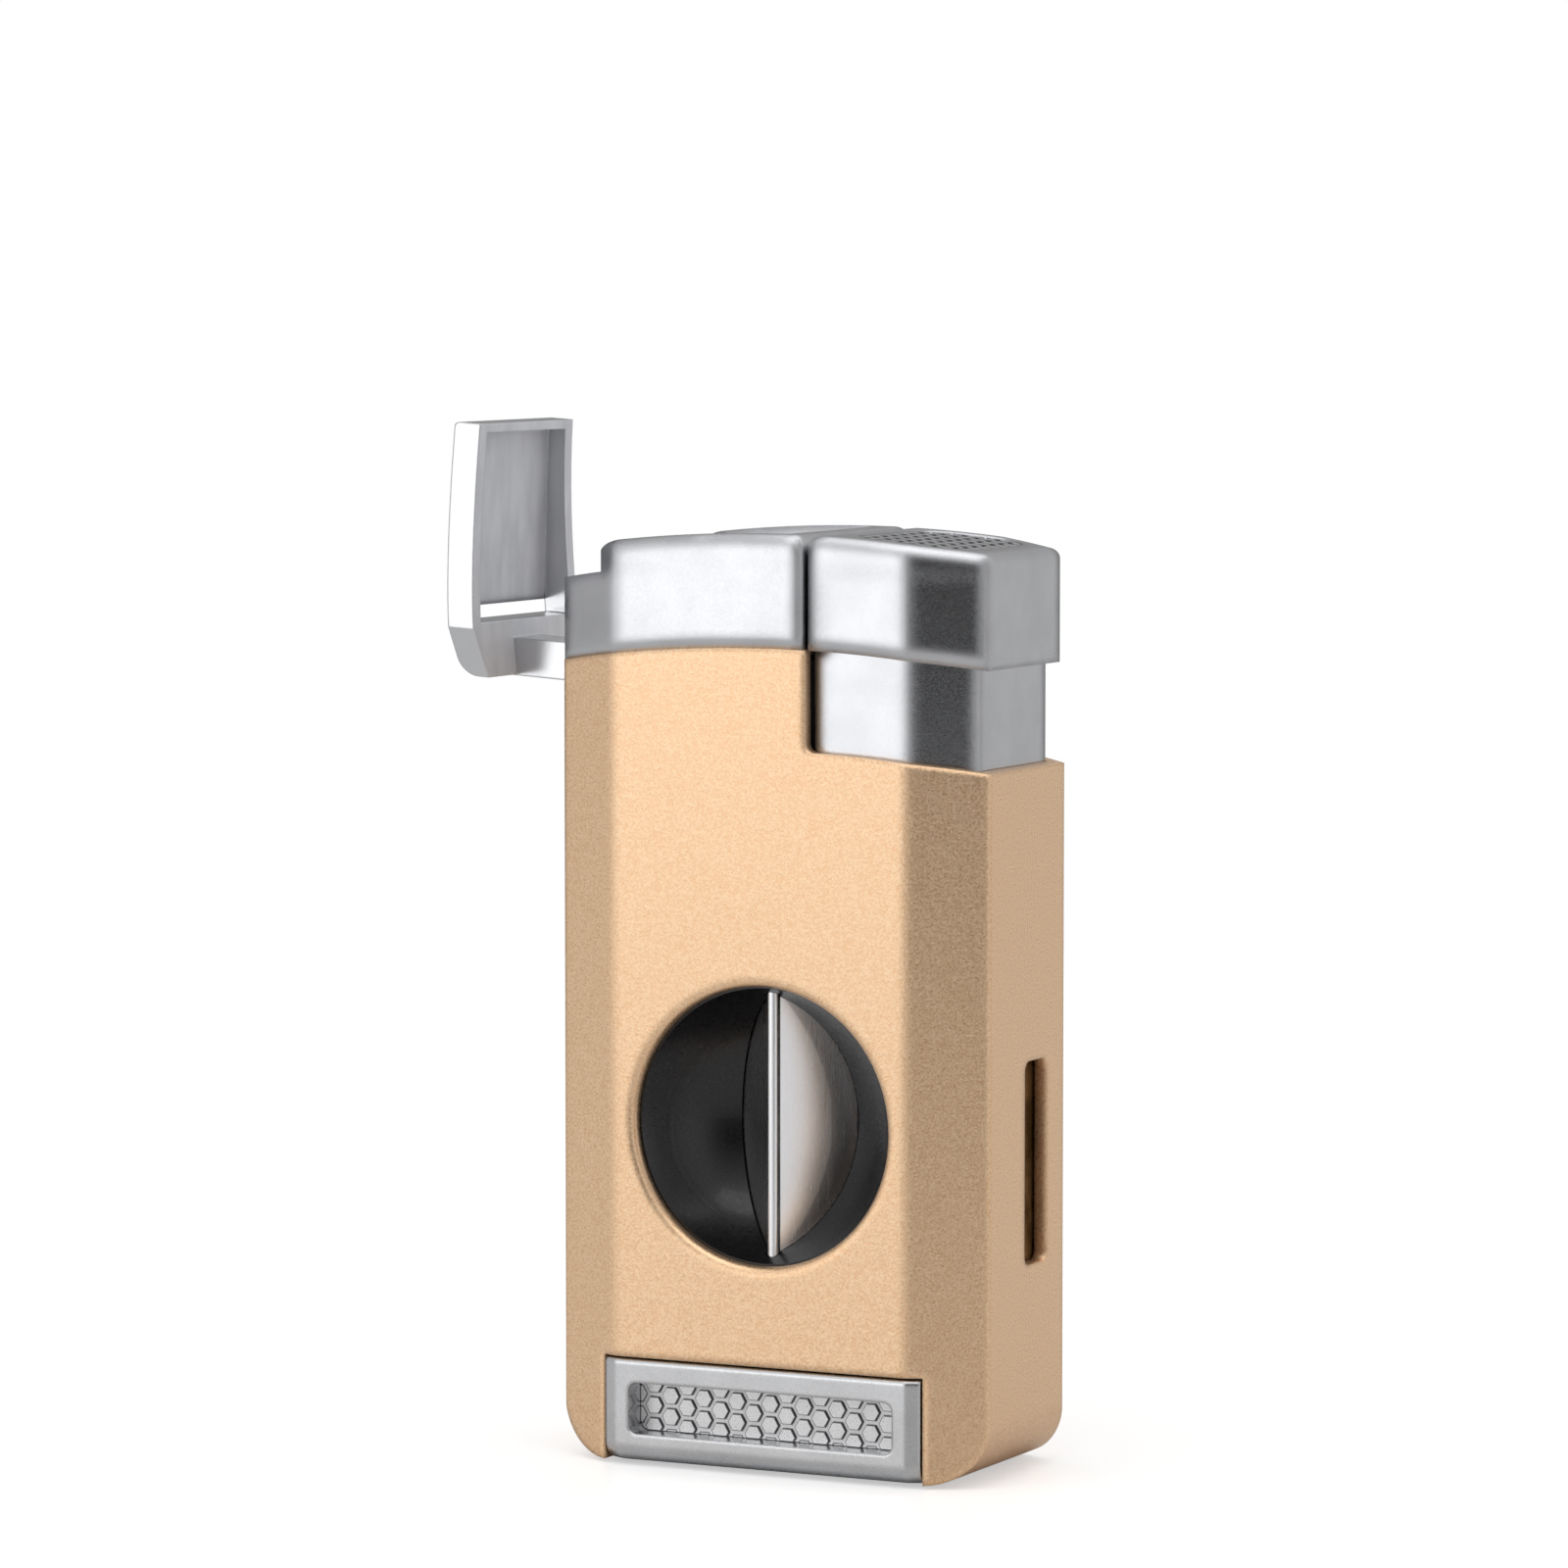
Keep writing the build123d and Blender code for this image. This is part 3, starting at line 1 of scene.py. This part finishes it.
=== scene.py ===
import bpy
import bmesh
import math
from mathutils import Matrix, Vector


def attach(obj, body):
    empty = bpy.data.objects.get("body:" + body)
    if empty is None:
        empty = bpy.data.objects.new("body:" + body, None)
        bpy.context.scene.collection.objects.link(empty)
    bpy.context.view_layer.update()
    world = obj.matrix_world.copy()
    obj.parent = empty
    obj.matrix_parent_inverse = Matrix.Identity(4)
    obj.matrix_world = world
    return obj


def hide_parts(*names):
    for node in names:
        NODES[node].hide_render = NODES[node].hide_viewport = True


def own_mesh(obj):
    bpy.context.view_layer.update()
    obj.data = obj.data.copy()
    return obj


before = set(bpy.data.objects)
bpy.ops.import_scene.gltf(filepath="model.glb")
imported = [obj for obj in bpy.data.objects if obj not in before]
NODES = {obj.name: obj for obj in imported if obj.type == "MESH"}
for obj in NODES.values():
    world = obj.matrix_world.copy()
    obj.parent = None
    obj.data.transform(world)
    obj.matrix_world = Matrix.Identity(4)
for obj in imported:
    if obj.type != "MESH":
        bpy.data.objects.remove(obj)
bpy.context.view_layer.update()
MM = 0.001
BEVEL_SAMPLES = 8
WHITE_LIGHT = (1, 1, 1)

# ---- Blade: the lens of painted reflection on its right face and the painted highlight along the ridge bar, metres ----
LENS_MIDDLE = 0.02925
LENS_HALF_HEIGHT = 0.0119
LENS_HALF_WIDTH = 0.0038
LENS_BLUR = 0.00006
FACE_BLUR = 0.00002
RIDGE_HALF = 0.0005
RIDGE_FADE = 0.00058

# ---- Honeycomb on the pull plate: column step, row pitch, middle row, cell and painted groove shade line, metres ----
CELL_STEP = 0.00157
CELL_PITCH = 0.0018
CELL_ROW_Z = 0.00465
CELL_HALF = 0.0007
CELL_SLANT = math.sqrt(0.75)
GROOVE_SHADE_HALF = 0.00004
GROOVE_SHADE_FADE = 1.8

# ---- Lid metal, outside and as cast ----
LID_METAL = (0.62, 0.625, 0.64)
LID_ROUGHNESS = 0.21
CAST_ROUGHNESS = 0.5
CAST_METALLIC = 0.35

# ---- Springs: how finely they are drawn, then centre, radius, wire, low, high and turns in mm ----
COIL_STEPS = 32
COIL_SIDES = 10
BUTTON_COIL = ((12, 0), 4.62, 0.28, 46.82, 67.98, 7)
FILL_COIL = ((-8, 4), 0.85, 0.17, 2.77, 6.33, 4)

# ---- Floor, the panels round the horizon as azimuth from the front and brightness, and the light ----
FLOOR_RADIUS = 0.42
FLOOR_DROP = -0.0003
FLOOR_SIDES = 96
FLOOR_GLOW = 0.5
PANELS = ((-180, 0.40), (180, 0.40), (-116, 0.16), (-78, 0.55), (-50, 1.12), (-22, 1.12),
          (2, 0.5), (20, 0.03), (38, 0.05), (64, 0.9), (92, 0.45), (150, 0.68))
PANEL_TOP_FROM = 0.25
PANEL_TOP_FULL = 0.8
CEILING = (0.75, 0.75, 0.75)
LIGHT_AIM = (0, 0, 0.04)

# ---- Camera ----
CAMERA_LENS = 160.63
CAMERA_SENSOR = 36
CAMERA_CLIP = 0.01
CAMERA_PLACE = (0.26031, -0.53145, 0.10358)
CAMERA_TILT = 4.458
CAMERA_TURN = 26.338


# ---------- Finishes ----------
def new_finish(name, color, metallic, roughness):
    """A material with its node tree and main shader ready for detail."""
    mat = bpy.data.materials.new(name)
    mat.use_nodes = True
    tree = mat.node_tree
    shader = tree.nodes["Principled BSDF"]
    shader.inputs["Base Color"].default_value = (*color, 1)
    shader.inputs["Metallic"].default_value = metallic
    shader.inputs["Roughness"].default_value = roughness
    return mat, tree, shader


def directions(tree, output):
    """The X, Y and Z values of one kind of texture coordinate."""
    coord = tree.nodes.new("ShaderNodeTexCoord")
    split = tree.nodes.new("ShaderNodeSeparateXYZ")
    tree.links.new(coord.outputs[output], split.inputs["Vector"])
    return split.outputs


def object_noise(tree, scale, detail=2.0, stretch=(1, 1, 1), rough=0.5):
    """Noise in object space, in features per metre, stretched along an axis where wanted."""
    coord = tree.nodes.new("ShaderNodeTexCoord")
    mapping = tree.nodes.new("ShaderNodeMapping")
    mapping.inputs["Scale"].default_value = stretch
    noise = tree.nodes.new("ShaderNodeTexNoise")
    noise.inputs["Scale"].default_value = scale
    noise.inputs["Detail"].default_value = detail
    noise.inputs["Roughness"].default_value = rough
    tree.links.new(coord.outputs["Object"], mapping.inputs["Vector"])
    tree.links.new(mapping.outputs["Vector"], noise.inputs["Vector"])
    return noise.outputs["Fac"]


def spread(tree, value, low, high, from_low=0.3, from_high=0.7):
    """A value remapped to the range low to high."""
    node = tree.nodes.new("ShaderNodeMapRange")
    node.inputs["From Min"].default_value = from_low
    node.inputs["From Max"].default_value = from_high
    node.inputs["To Min"].default_value = low
    node.inputs["To Max"].default_value = high
    tree.links.new(value, node.inputs["Value"])
    return node.outputs["Result"]


def two_tone(tree, value, dark, light, low=0.35, high=0.65):
    """A colour that runs from dark to light with a value."""
    ramp = tree.nodes.new("ShaderNodeValToRGB")
    ramp.color_ramp.elements[0].position = low
    ramp.color_ramp.elements[0].color = (*dark, 1)
    ramp.color_ramp.elements[1].position = high
    ramp.color_ramp.elements[1].color = (*light, 1)
    tree.links.new(value, ramp.inputs["Fac"])
    return ramp.outputs["Color"]


def mixed(tree, share, first, second):
    """A colour between two others, each a plain colour or a node's result."""
    node = tree.nodes.new("ShaderNodeMix")
    node.data_type = "RGBA"
    tree.links.new(share, node.inputs[0])
    for socket, color in zip((node.inputs[6], node.inputs[7]), (first, second)):
        if isinstance(color, tuple):
            socket.default_value = (*color, 1)
        else:
            tree.links.new(color, socket)
    return node.outputs[2]


def arith(tree, operation, left, right=0):
    """One arithmetic step between two values or numbers."""
    node = tree.nodes.new("ShaderNodeMath")
    node.operation = operation
    for socket, value in zip(node.inputs, (left, right)):
        if isinstance(value, (int, float)):
            socket.default_value = value
        else:
            tree.links.new(value, socket)
    return node.outputs[0]


def surface_bump(tree, shader, value, strength, depth, soft_edge=0.0):
    """Raises the surface by a value, depth in metres, over edges rounded by soft_edge."""
    bump = tree.nodes.new("ShaderNodeBump")
    if soft_edge:
        rounded = tree.nodes.new("ShaderNodeBevel")
        rounded.samples = BEVEL_SAMPLES
        rounded.inputs["Radius"].default_value = soft_edge
        tree.links.new(rounded.outputs["Normal"], bump.inputs["Normal"])
    bump.inputs["Strength"].default_value = strength
    bump.inputs["Distance"].default_value = depth
    tree.links.new(value, bump.inputs["Height"])
    tree.links.new(bump.outputs["Normal"], shader.inputs["Normal"])


def sand_paint():
    """Champagne gold paint with a fine sand texture."""
    mat, tree, shader = new_finish("champagne_sand_paint", (0.91, 0.62, 0.38), 0.85, 0.34)
    grain = object_noise(tree, 5200, 3.0, rough=0.6)
    gold = two_tone(tree, grain, (0.82, 0.51, 0.29), (1.0, 0.73, 0.48))
    tree.links.new(gold, shader.inputs["Base Color"])
    tree.links.new(spread(tree, grain, 0.26, 0.40), shader.inputs["Roughness"])
    surface_bump(tree, shader, grain, 0.5, 0.00006, soft_edge=0.0009)
    return mat


def satin_metal(name, color, roughness, lines=(1, 1, 1), grain=9000, depth=0.00001, soft_edge=0.0):
    """Bare or plated metal with a fine grain, drawn out into lines where wanted."""
    mat, tree, shader = new_finish(name, color, 1.0, roughness)
    fine = object_noise(tree, grain, 2.0, lines)
    wide = object_noise(tree, 260, 3.0)
    low = tuple(c * 0.93 for c in color)
    tree.links.new(two_tone(tree, wide, low, color), shader.inputs["Base Color"])
    tree.links.new(spread(tree, fine, roughness * 0.8, roughness * 1.25), shader.inputs["Roughness"])
    surface_bump(tree, shader, fine, 0.35, depth, soft_edge)
    return mat


def blade_with_painted_reflection():
    """Blade steel, with a painted highlight along the ridge and a lens of painted reflection on the right
    face beside it, where the polished facet would mirror the white studio.
    """
    mat, tree, shader = new_finish("blade_steel_painted_reflection", (0.6, 0.6, 0.62), 1.0, 0.25)
    place = directions(tree, "Object")
    rise = arith(tree, "DIVIDE", arith(tree, "SUBTRACT", place["Z"], LENS_MIDDLE), LENS_HALF_HEIGHT)
    share = arith(tree, "SUBTRACT", 1, arith(tree, "MULTIPLY", rise, rise))
    reach = arith(tree, "MULTIPLY", share, LENS_HALF_WIDTH)
    inside = spread(tree, arith(tree, "SUBTRACT", reach, place["X"]), 0, 1, -LENS_BLUR, LENS_BLUR)
    right = spread(tree, place["X"], 0, 1, -FACE_BLUR, FACE_BLUR)
    # painted reflection: inside this lens on the right face the steel is coloured near white, as the white
    # studio seen in the polished facet
    lens = arith(tree, "MULTIPLY", inside, right)
    # painted highlight: a near-white bar along the ridge
    ridge_highlight = spread(tree, arith(tree, "ABSOLUTE", place["X"]), 1, 0, RIDGE_HALF, RIDGE_FADE)
    bright = arith(tree, "MAXIMUM", lens, ridge_highlight)
    lines = object_noise(tree, 7000, 2.0, (1, 1, 0.04))
    plain = two_tone(tree, lines, (0.62, 0.62, 0.63), (0.70, 0.70, 0.72))
    reflected_studio = two_tone(tree, lines, (0.93, 0.93, 0.95), (0.98, 0.98, 1.0))
    tree.links.new(mixed(tree, bright, plain, reflected_studio), shader.inputs["Base Color"])
    tree.links.new(spread(tree, lines, 0.24, 0.28), shader.inputs["Roughness"])
    surface_bump(tree, shader, lines, 0.1, 0.000002)
    return mat


def cell_reach(tree, side, rise):
    """How far a point lies from the middle of a flat-topped six-sided cell."""
    slant = arith(tree, "ADD", arith(tree, "MULTIPLY", side, CELL_SLANT), arith(tree, "MULTIPLY", rise, 0.5))
    return arith(tree, "MAXIMUM", rise, slant)


def honeycomb_plate():
    """Bright plate with a thin line of painted shade round every six-sided cell, standing in for the shaded
    grooves between the raised cells.
    """
    mat = satin_metal("honeycomb_plate", (0.95, 0.95, 0.96), 0.3, depth=0.000003)
    tree = mat.node_tree
    shader = tree.nodes["Principled BSDF"]
    place = directions(tree, "Object")
    side = arith(tree, "PINGPONG", arith(tree, "SUBTRACT", place["X"], CELL_STEP), CELL_STEP)
    rise = arith(tree, "PINGPONG", arith(tree, "SUBTRACT", place["Z"], CELL_ROW_Z), CELL_PITCH / 2)
    between_side = arith(tree, "SUBTRACT", CELL_STEP, side)
    between_rise = arith(tree, "SUBTRACT", CELL_PITCH / 2, rise)
    reach = arith(tree, "MINIMUM", cell_reach(tree, side, rise), cell_reach(tree, between_side, between_rise))
    offset = arith(tree, "ABSOLUTE", arith(tree, "SUBTRACT", reach, CELL_HALF))
    # painted shade: a dark line round each cell, where the grooves between the raised cells would fall into
    # shade
    groove_shade = spread(tree, offset, 1, 0, GROOVE_SHADE_HALF, GROOVE_SHADE_HALF * GROOVE_SHADE_FADE)
    bright = two_tone(tree, object_noise(tree, 260, 3.0), (0.92, 0.92, 0.93), (0.97, 0.97, 0.98))
    tree.links.new(mixed(tree, groove_shade, bright, (0.16, 0.16, 0.17)), shader.inputs["Base Color"])
    tree.links.new(spread(tree, groove_shade, 0.3, 0.8, 0, 1), shader.inputs["Metallic"])
    return mat


def moulded(name, color, roughness, coat=0.0, grain=3500, depth=0.00002):
    """Moulded plastic, rubber or ceramic with a faint surface grain."""
    mat, tree, shader = new_finish(name, color, 0.0, roughness)
    fine = object_noise(tree, grain, 2.0)
    low = tuple(c * 0.8 for c in color)
    tree.links.new(two_tone(tree, fine, low, color), shader.inputs["Base Color"])
    tree.links.new(spread(tree, fine, roughness * 0.85, roughness * 1.2), shader.inputs["Roughness"])
    shader.inputs["Coat Weight"].default_value = coat
    surface_bump(tree, shader, fine, 0.3, depth)
    return mat


def cast_lid():
    """Satin outside; the rim, the floor of the hollow and the root block keep a paler cast skin."""
    mat = satin_metal("satin_lid", LID_METAL, LID_ROUGHNESS, soft_edge=0.00025)
    tree = mat.node_tree
    shader = tree.nodes["Principled BSDF"]
    skin = spread(tree, directions(tree, "Normal")["X"], 0, 1, 0.8, 0.9)
    streaks = object_noise(tree, 500, 3.0, (1, 1, 0.35))
    cast = two_tone(tree, streaks, (0.70, 0.71, 0.75), (0.82, 0.83, 0.87))
    tree.links.new(mixed(tree, skin, LID_METAL, cast), shader.inputs["Base Color"])
    tree.links.new(spread(tree, skin, 1.0, CAST_METALLIC, 0, 1), shader.inputs["Metallic"])
    tree.links.new(spread(tree, skin, LID_ROUGHNESS, CAST_ROUGHNESS, 0, 1), shader.inputs["Roughness"])
    return mat


def smoked_plastic():
    """Dark brown see-through tank plastic."""
    mat, tree, shader = new_finish("smoked_tank_plastic", (0.10, 0.065, 0.04), 0.0, 0.12)
    shader.inputs["Transmission Weight"].default_value = 0.55
    shader.inputs["IOR"].default_value = 1.49
    cloud = object_noise(tree, 400, 3.0)
    brown = two_tone(tree, cloud, (0.16, 0.08, 0.025), (0.40, 0.21, 0.08))
    tree.links.new(brown, shader.inputs["Base Color"])
    tree.links.new(spread(tree, cloud, 0.08, 0.2), shader.inputs["Roughness"])
    return mat


PAINT = sand_paint()
SILVER = satin_metal("satin_silver", (0.56, 0.565, 0.585), 0.2, soft_edge=0.002)
PULL = satin_metal("satin_pull", (0.64, 0.645, 0.66), 0.24, soft_edge=0.0004)
LID = cast_lid()
HONEYCOMB = honeycomb_plate()
GRIP = satin_metal("bright_grip_plate", (0.70, 0.70, 0.72), 0.22, depth=0.000003)
BLADE = blade_with_painted_reflection()
STEEL = satin_metal("plain_steel", (0.55, 0.55, 0.57), 0.34)
SPRING = satin_metal("spring_steel", (0.50, 0.50, 0.52), 0.28)
BRASS = satin_metal("turned_brass", (0.80, 0.58, 0.26), 0.28, (1, 1, 0.2))
BLACK_GLOSS = moulded("gloss_black_bowl", (0.004, 0.004, 0.005), 0.3, coat=0.15, depth=0.000004)
BLACK = moulded("black_moulding", (0.03, 0.03, 0.032), 0.5)
WHITE = moulded("white_moulding", (0.75, 0.74, 0.70), 0.4)
CERAMIC = moulded("white_ceramic", (0.85, 0.84, 0.80), 0.25, coat=0.3)
RUBBER = moulded("seal_rubber", (0.02, 0.02, 0.02), 0.7)
HOSE = moulded("soft_hose", (0.66, 0.64, 0.58), 0.35)
WIRE = moulded("red_wire_cover", (0.5, 0.03, 0.02), 0.4)
GREY_PAINT = satin_metal("grey_base_paint", (0.45, 0.44, 0.43), 0.45, grain=4000, depth=0.00003)
SMOKE = smoked_plastic()

FINISH = {
    PAINT: ["body_shell"],
    SILVER: ["head_housing", "button_cap", "button_skirt"],
    PULL: ["cutter_pull"],
    LID: ["lid"],
    GRIP: ["button_grip"],
    HONEYCOMB: ["pull_grip"],
    BLADE: ["v_blade"],
    STEEL: ["base_screws", "chassis_screws", "blade_rivets", "hinge_pin", "gas_lever", "lever_pin",
            "wind_plate", "jet_meshes", "ignition_electrode"],
    SPRING: ["fill_valve_spring", "lid_spring", "lid_catch_spring", "button_spring"],
    BRASS: ["fill_valve_body", "fill_valve_stem", "flame_adjuster", "valve_body", "valve_stem",
            "burner_manifold", "jet_nozzles"],
    BLACK_GLOSS: ["cutter_cup"],
    BLACK: ["cutter_guide", "blade_carrier", "chassis", "piezo_body"],
    WHITE: ["piezo_plunger"],
    CERAMIC: ["electrode_insulator"],
    RUBBER: ["valve_seal", "adjuster_seal"],
    HOSE: ["gas_hose"],
    WIRE: ["ignition_wire"],
    GREY_PAINT: ["base_plate"],
    SMOKE: ["tank", "tank_cap"],
}
for finish, names in FINISH.items():
    for name in names:
        slots = NODES[name].data.materials
        for index in range(len(slots)):
            slots[index] = finish


# ---------- Springs drawn as coils on the case --------------
def coil(name, centre, radius, wire, low, high, turns):
    """An upright round-wire spring on the case; all sizes in millimetres."""
    bm = bmesh.new()
    steps = turns * COIL_STEPS
    climb = (high - low - 2 * wire) * MM / steps
    foot = Matrix.Translation(Vector((radius, 0, low + wire)) * MM)
    bmesh.ops.create_circle(bm, segments=COIL_SIDES, radius=wire * MM,
                            matrix=foot @ Matrix.Rotation(math.pi / 2, 4, "X"))
    bmesh.ops.spin(bm, geom=bm.verts[:] + bm.edges[:], cent=(0, 0, 0), axis=(0, 0, 1),
                   angle=2 * math.pi * turns, dvec=(0, 0, climb), steps=steps)
    ends = [edge for edge in bm.edges if edge.is_boundary]
    bmesh.ops.holes_fill(bm, edges=ends, sides=COIL_SIDES)
    bmesh.ops.translate(bm, verts=bm.verts, vec=Vector((*centre, 0)) * MM)
    bmesh.ops.recalc_face_normals(bm, faces=bm.faces)
    mesh = bpy.data.meshes.new(name)
    bm.to_mesh(mesh)
    bm.free()
    for polygon in mesh.polygons:
        polygon.use_smooth = len(polygon.vertices) == 4
    mesh.materials.append(SPRING)
    obj = bpy.data.objects.new(name, mesh)
    bpy.context.scene.collection.objects.link(obj)
    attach(obj, "case")
    return obj


button_coil = coil("button_coil", *BUTTON_COIL)
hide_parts("button_spring")
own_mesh(button_coil)
fill_coil = coil("fill_coil", *FILL_COIL)
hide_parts("fill_valve_spring")
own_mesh(fill_coil)


# ---------- Floor and light ----------
def pale_floor():
    """A round pale floor under the object."""
    bm = bmesh.new()
    bmesh.ops.create_circle(bm, cap_ends=True, segments=FLOOR_SIDES, radius=FLOOR_RADIUS,
                            matrix=Matrix.Translation((0, 0, FLOOR_DROP)))
    mesh = bpy.data.meshes.new("pale_floor")
    bm.to_mesh(mesh)
    bm.free()
    obj = bpy.data.objects.new("pale_floor", mesh)
    bpy.context.scene.collection.objects.link(obj)
    mat, tree, shader = new_finish("pale_floor_paint", (0.9, 0.9, 0.9), 0.0, 0.35)
    tone = two_tone(tree, object_noise(tree, 6), (0.66, 0.66, 0.66), (0.68, 0.68, 0.68))
    tree.links.new(tone, shader.inputs["Base Color"])
    shader.inputs["Emission Color"].default_value = (*WHITE_LIGHT, 1)
    seen = tree.nodes.new("ShaderNodeLightPath")
    glow = spread(tree, seen.outputs["Is Camera Ray"], 0, FLOOR_GLOW, 0, 1)
    tree.links.new(glow, shader.inputs["Emission Strength"])
    mesh.materials.append(mat)


def soft_light(name, azimuth, height, distance, size, power):
    """A soft box at an azimuth in degrees from the front, positive to the right, aimed at the object."""
    data = bpy.data.lights.new(name, "AREA")
    data.shape = "RECTANGLE"
    data.size, data.size_y = size
    data.energy = power
    lamp = bpy.data.objects.new(name, data)
    turn = math.radians(azimuth)
    lamp.location = (math.sin(turn) * distance, -math.cos(turn) * distance, height)
    lamp.rotation_euler = (Vector(LIGHT_AIM) - lamp.location).to_track_quat("-Z", "Y").to_euler()
    bpy.context.scene.collection.objects.link(lamp)


def panel_ring(tree, around):
    """Brightness round the horizon, from the list of panels."""
    ramp = tree.nodes.new("ShaderNodeValToRGB")
    ramp.color_ramp.interpolation = "EASE"
    stops = ramp.color_ramp.elements
    for index, (azimuth, level) in enumerate(PANELS):
        spot = (azimuth + 180) / 360
        stop = stops[index] if index < 2 else stops.new(spot)
        stop.position = spot
        stop.color = (level, level, level, 1)
    tree.links.new(around, ramp.inputs["Fac"])
    return ramp.outputs["Color"]


def studio_air():
    """Soft surroundings, brighter and darker round the horizon like panels about a still-life table."""
    world = bpy.data.worlds.new("studio_air")
    bpy.context.scene.world = world
    world.use_nodes = True
    tree = world.node_tree
    way = directions(tree, "Generated")
    azimuth = arith(tree, "ARCTAN2", way["X"], arith(tree, "MULTIPLY", way["Y"], -1))
    ring = panel_ring(tree, spread(tree, azimuth, 0, 1, -math.pi, math.pi))
    overhead = spread(tree, way["Z"], 0, 1, PANEL_TOP_FROM, PANEL_TOP_FULL)
    seen = tree.nodes.new("ShaderNodeLightPath")
    around = mixed(tree, overhead, ring, CEILING)
    color = mixed(tree, seen.outputs["Is Camera Ray"], around, WHITE_LIGHT)
    tree.links.new(color, tree.nodes["Background"].inputs["Color"])
    tree.nodes["Background"].inputs["Strength"].default_value = 1.0


pale_floor()
studio_air()
soft_light("overhead_box", 10, 1.3, 0.2, (1.2, 1.2), 6)
soft_light("front_left_box", -27, 0.12, 1.5, (0.45, 0.8), 0.9)
bpy.context.scene.view_settings.view_transform = "Standard"

# ---------- Camera ----------
cam_data = bpy.data.cameras.new("main_camera")
cam_data.lens = CAMERA_LENS
cam_data.sensor_width = CAMERA_SENSOR
cam_data.clip_start = CAMERA_CLIP
camera = bpy.data.objects.new("main_camera", cam_data)
camera.location = CAMERA_PLACE
camera.rotation_euler = (math.radians(90 - CAMERA_TILT), 0, math.radians(CAMERA_TURN))
bpy.context.scene.collection.objects.link(camera)
bpy.context.scene.camera = camera
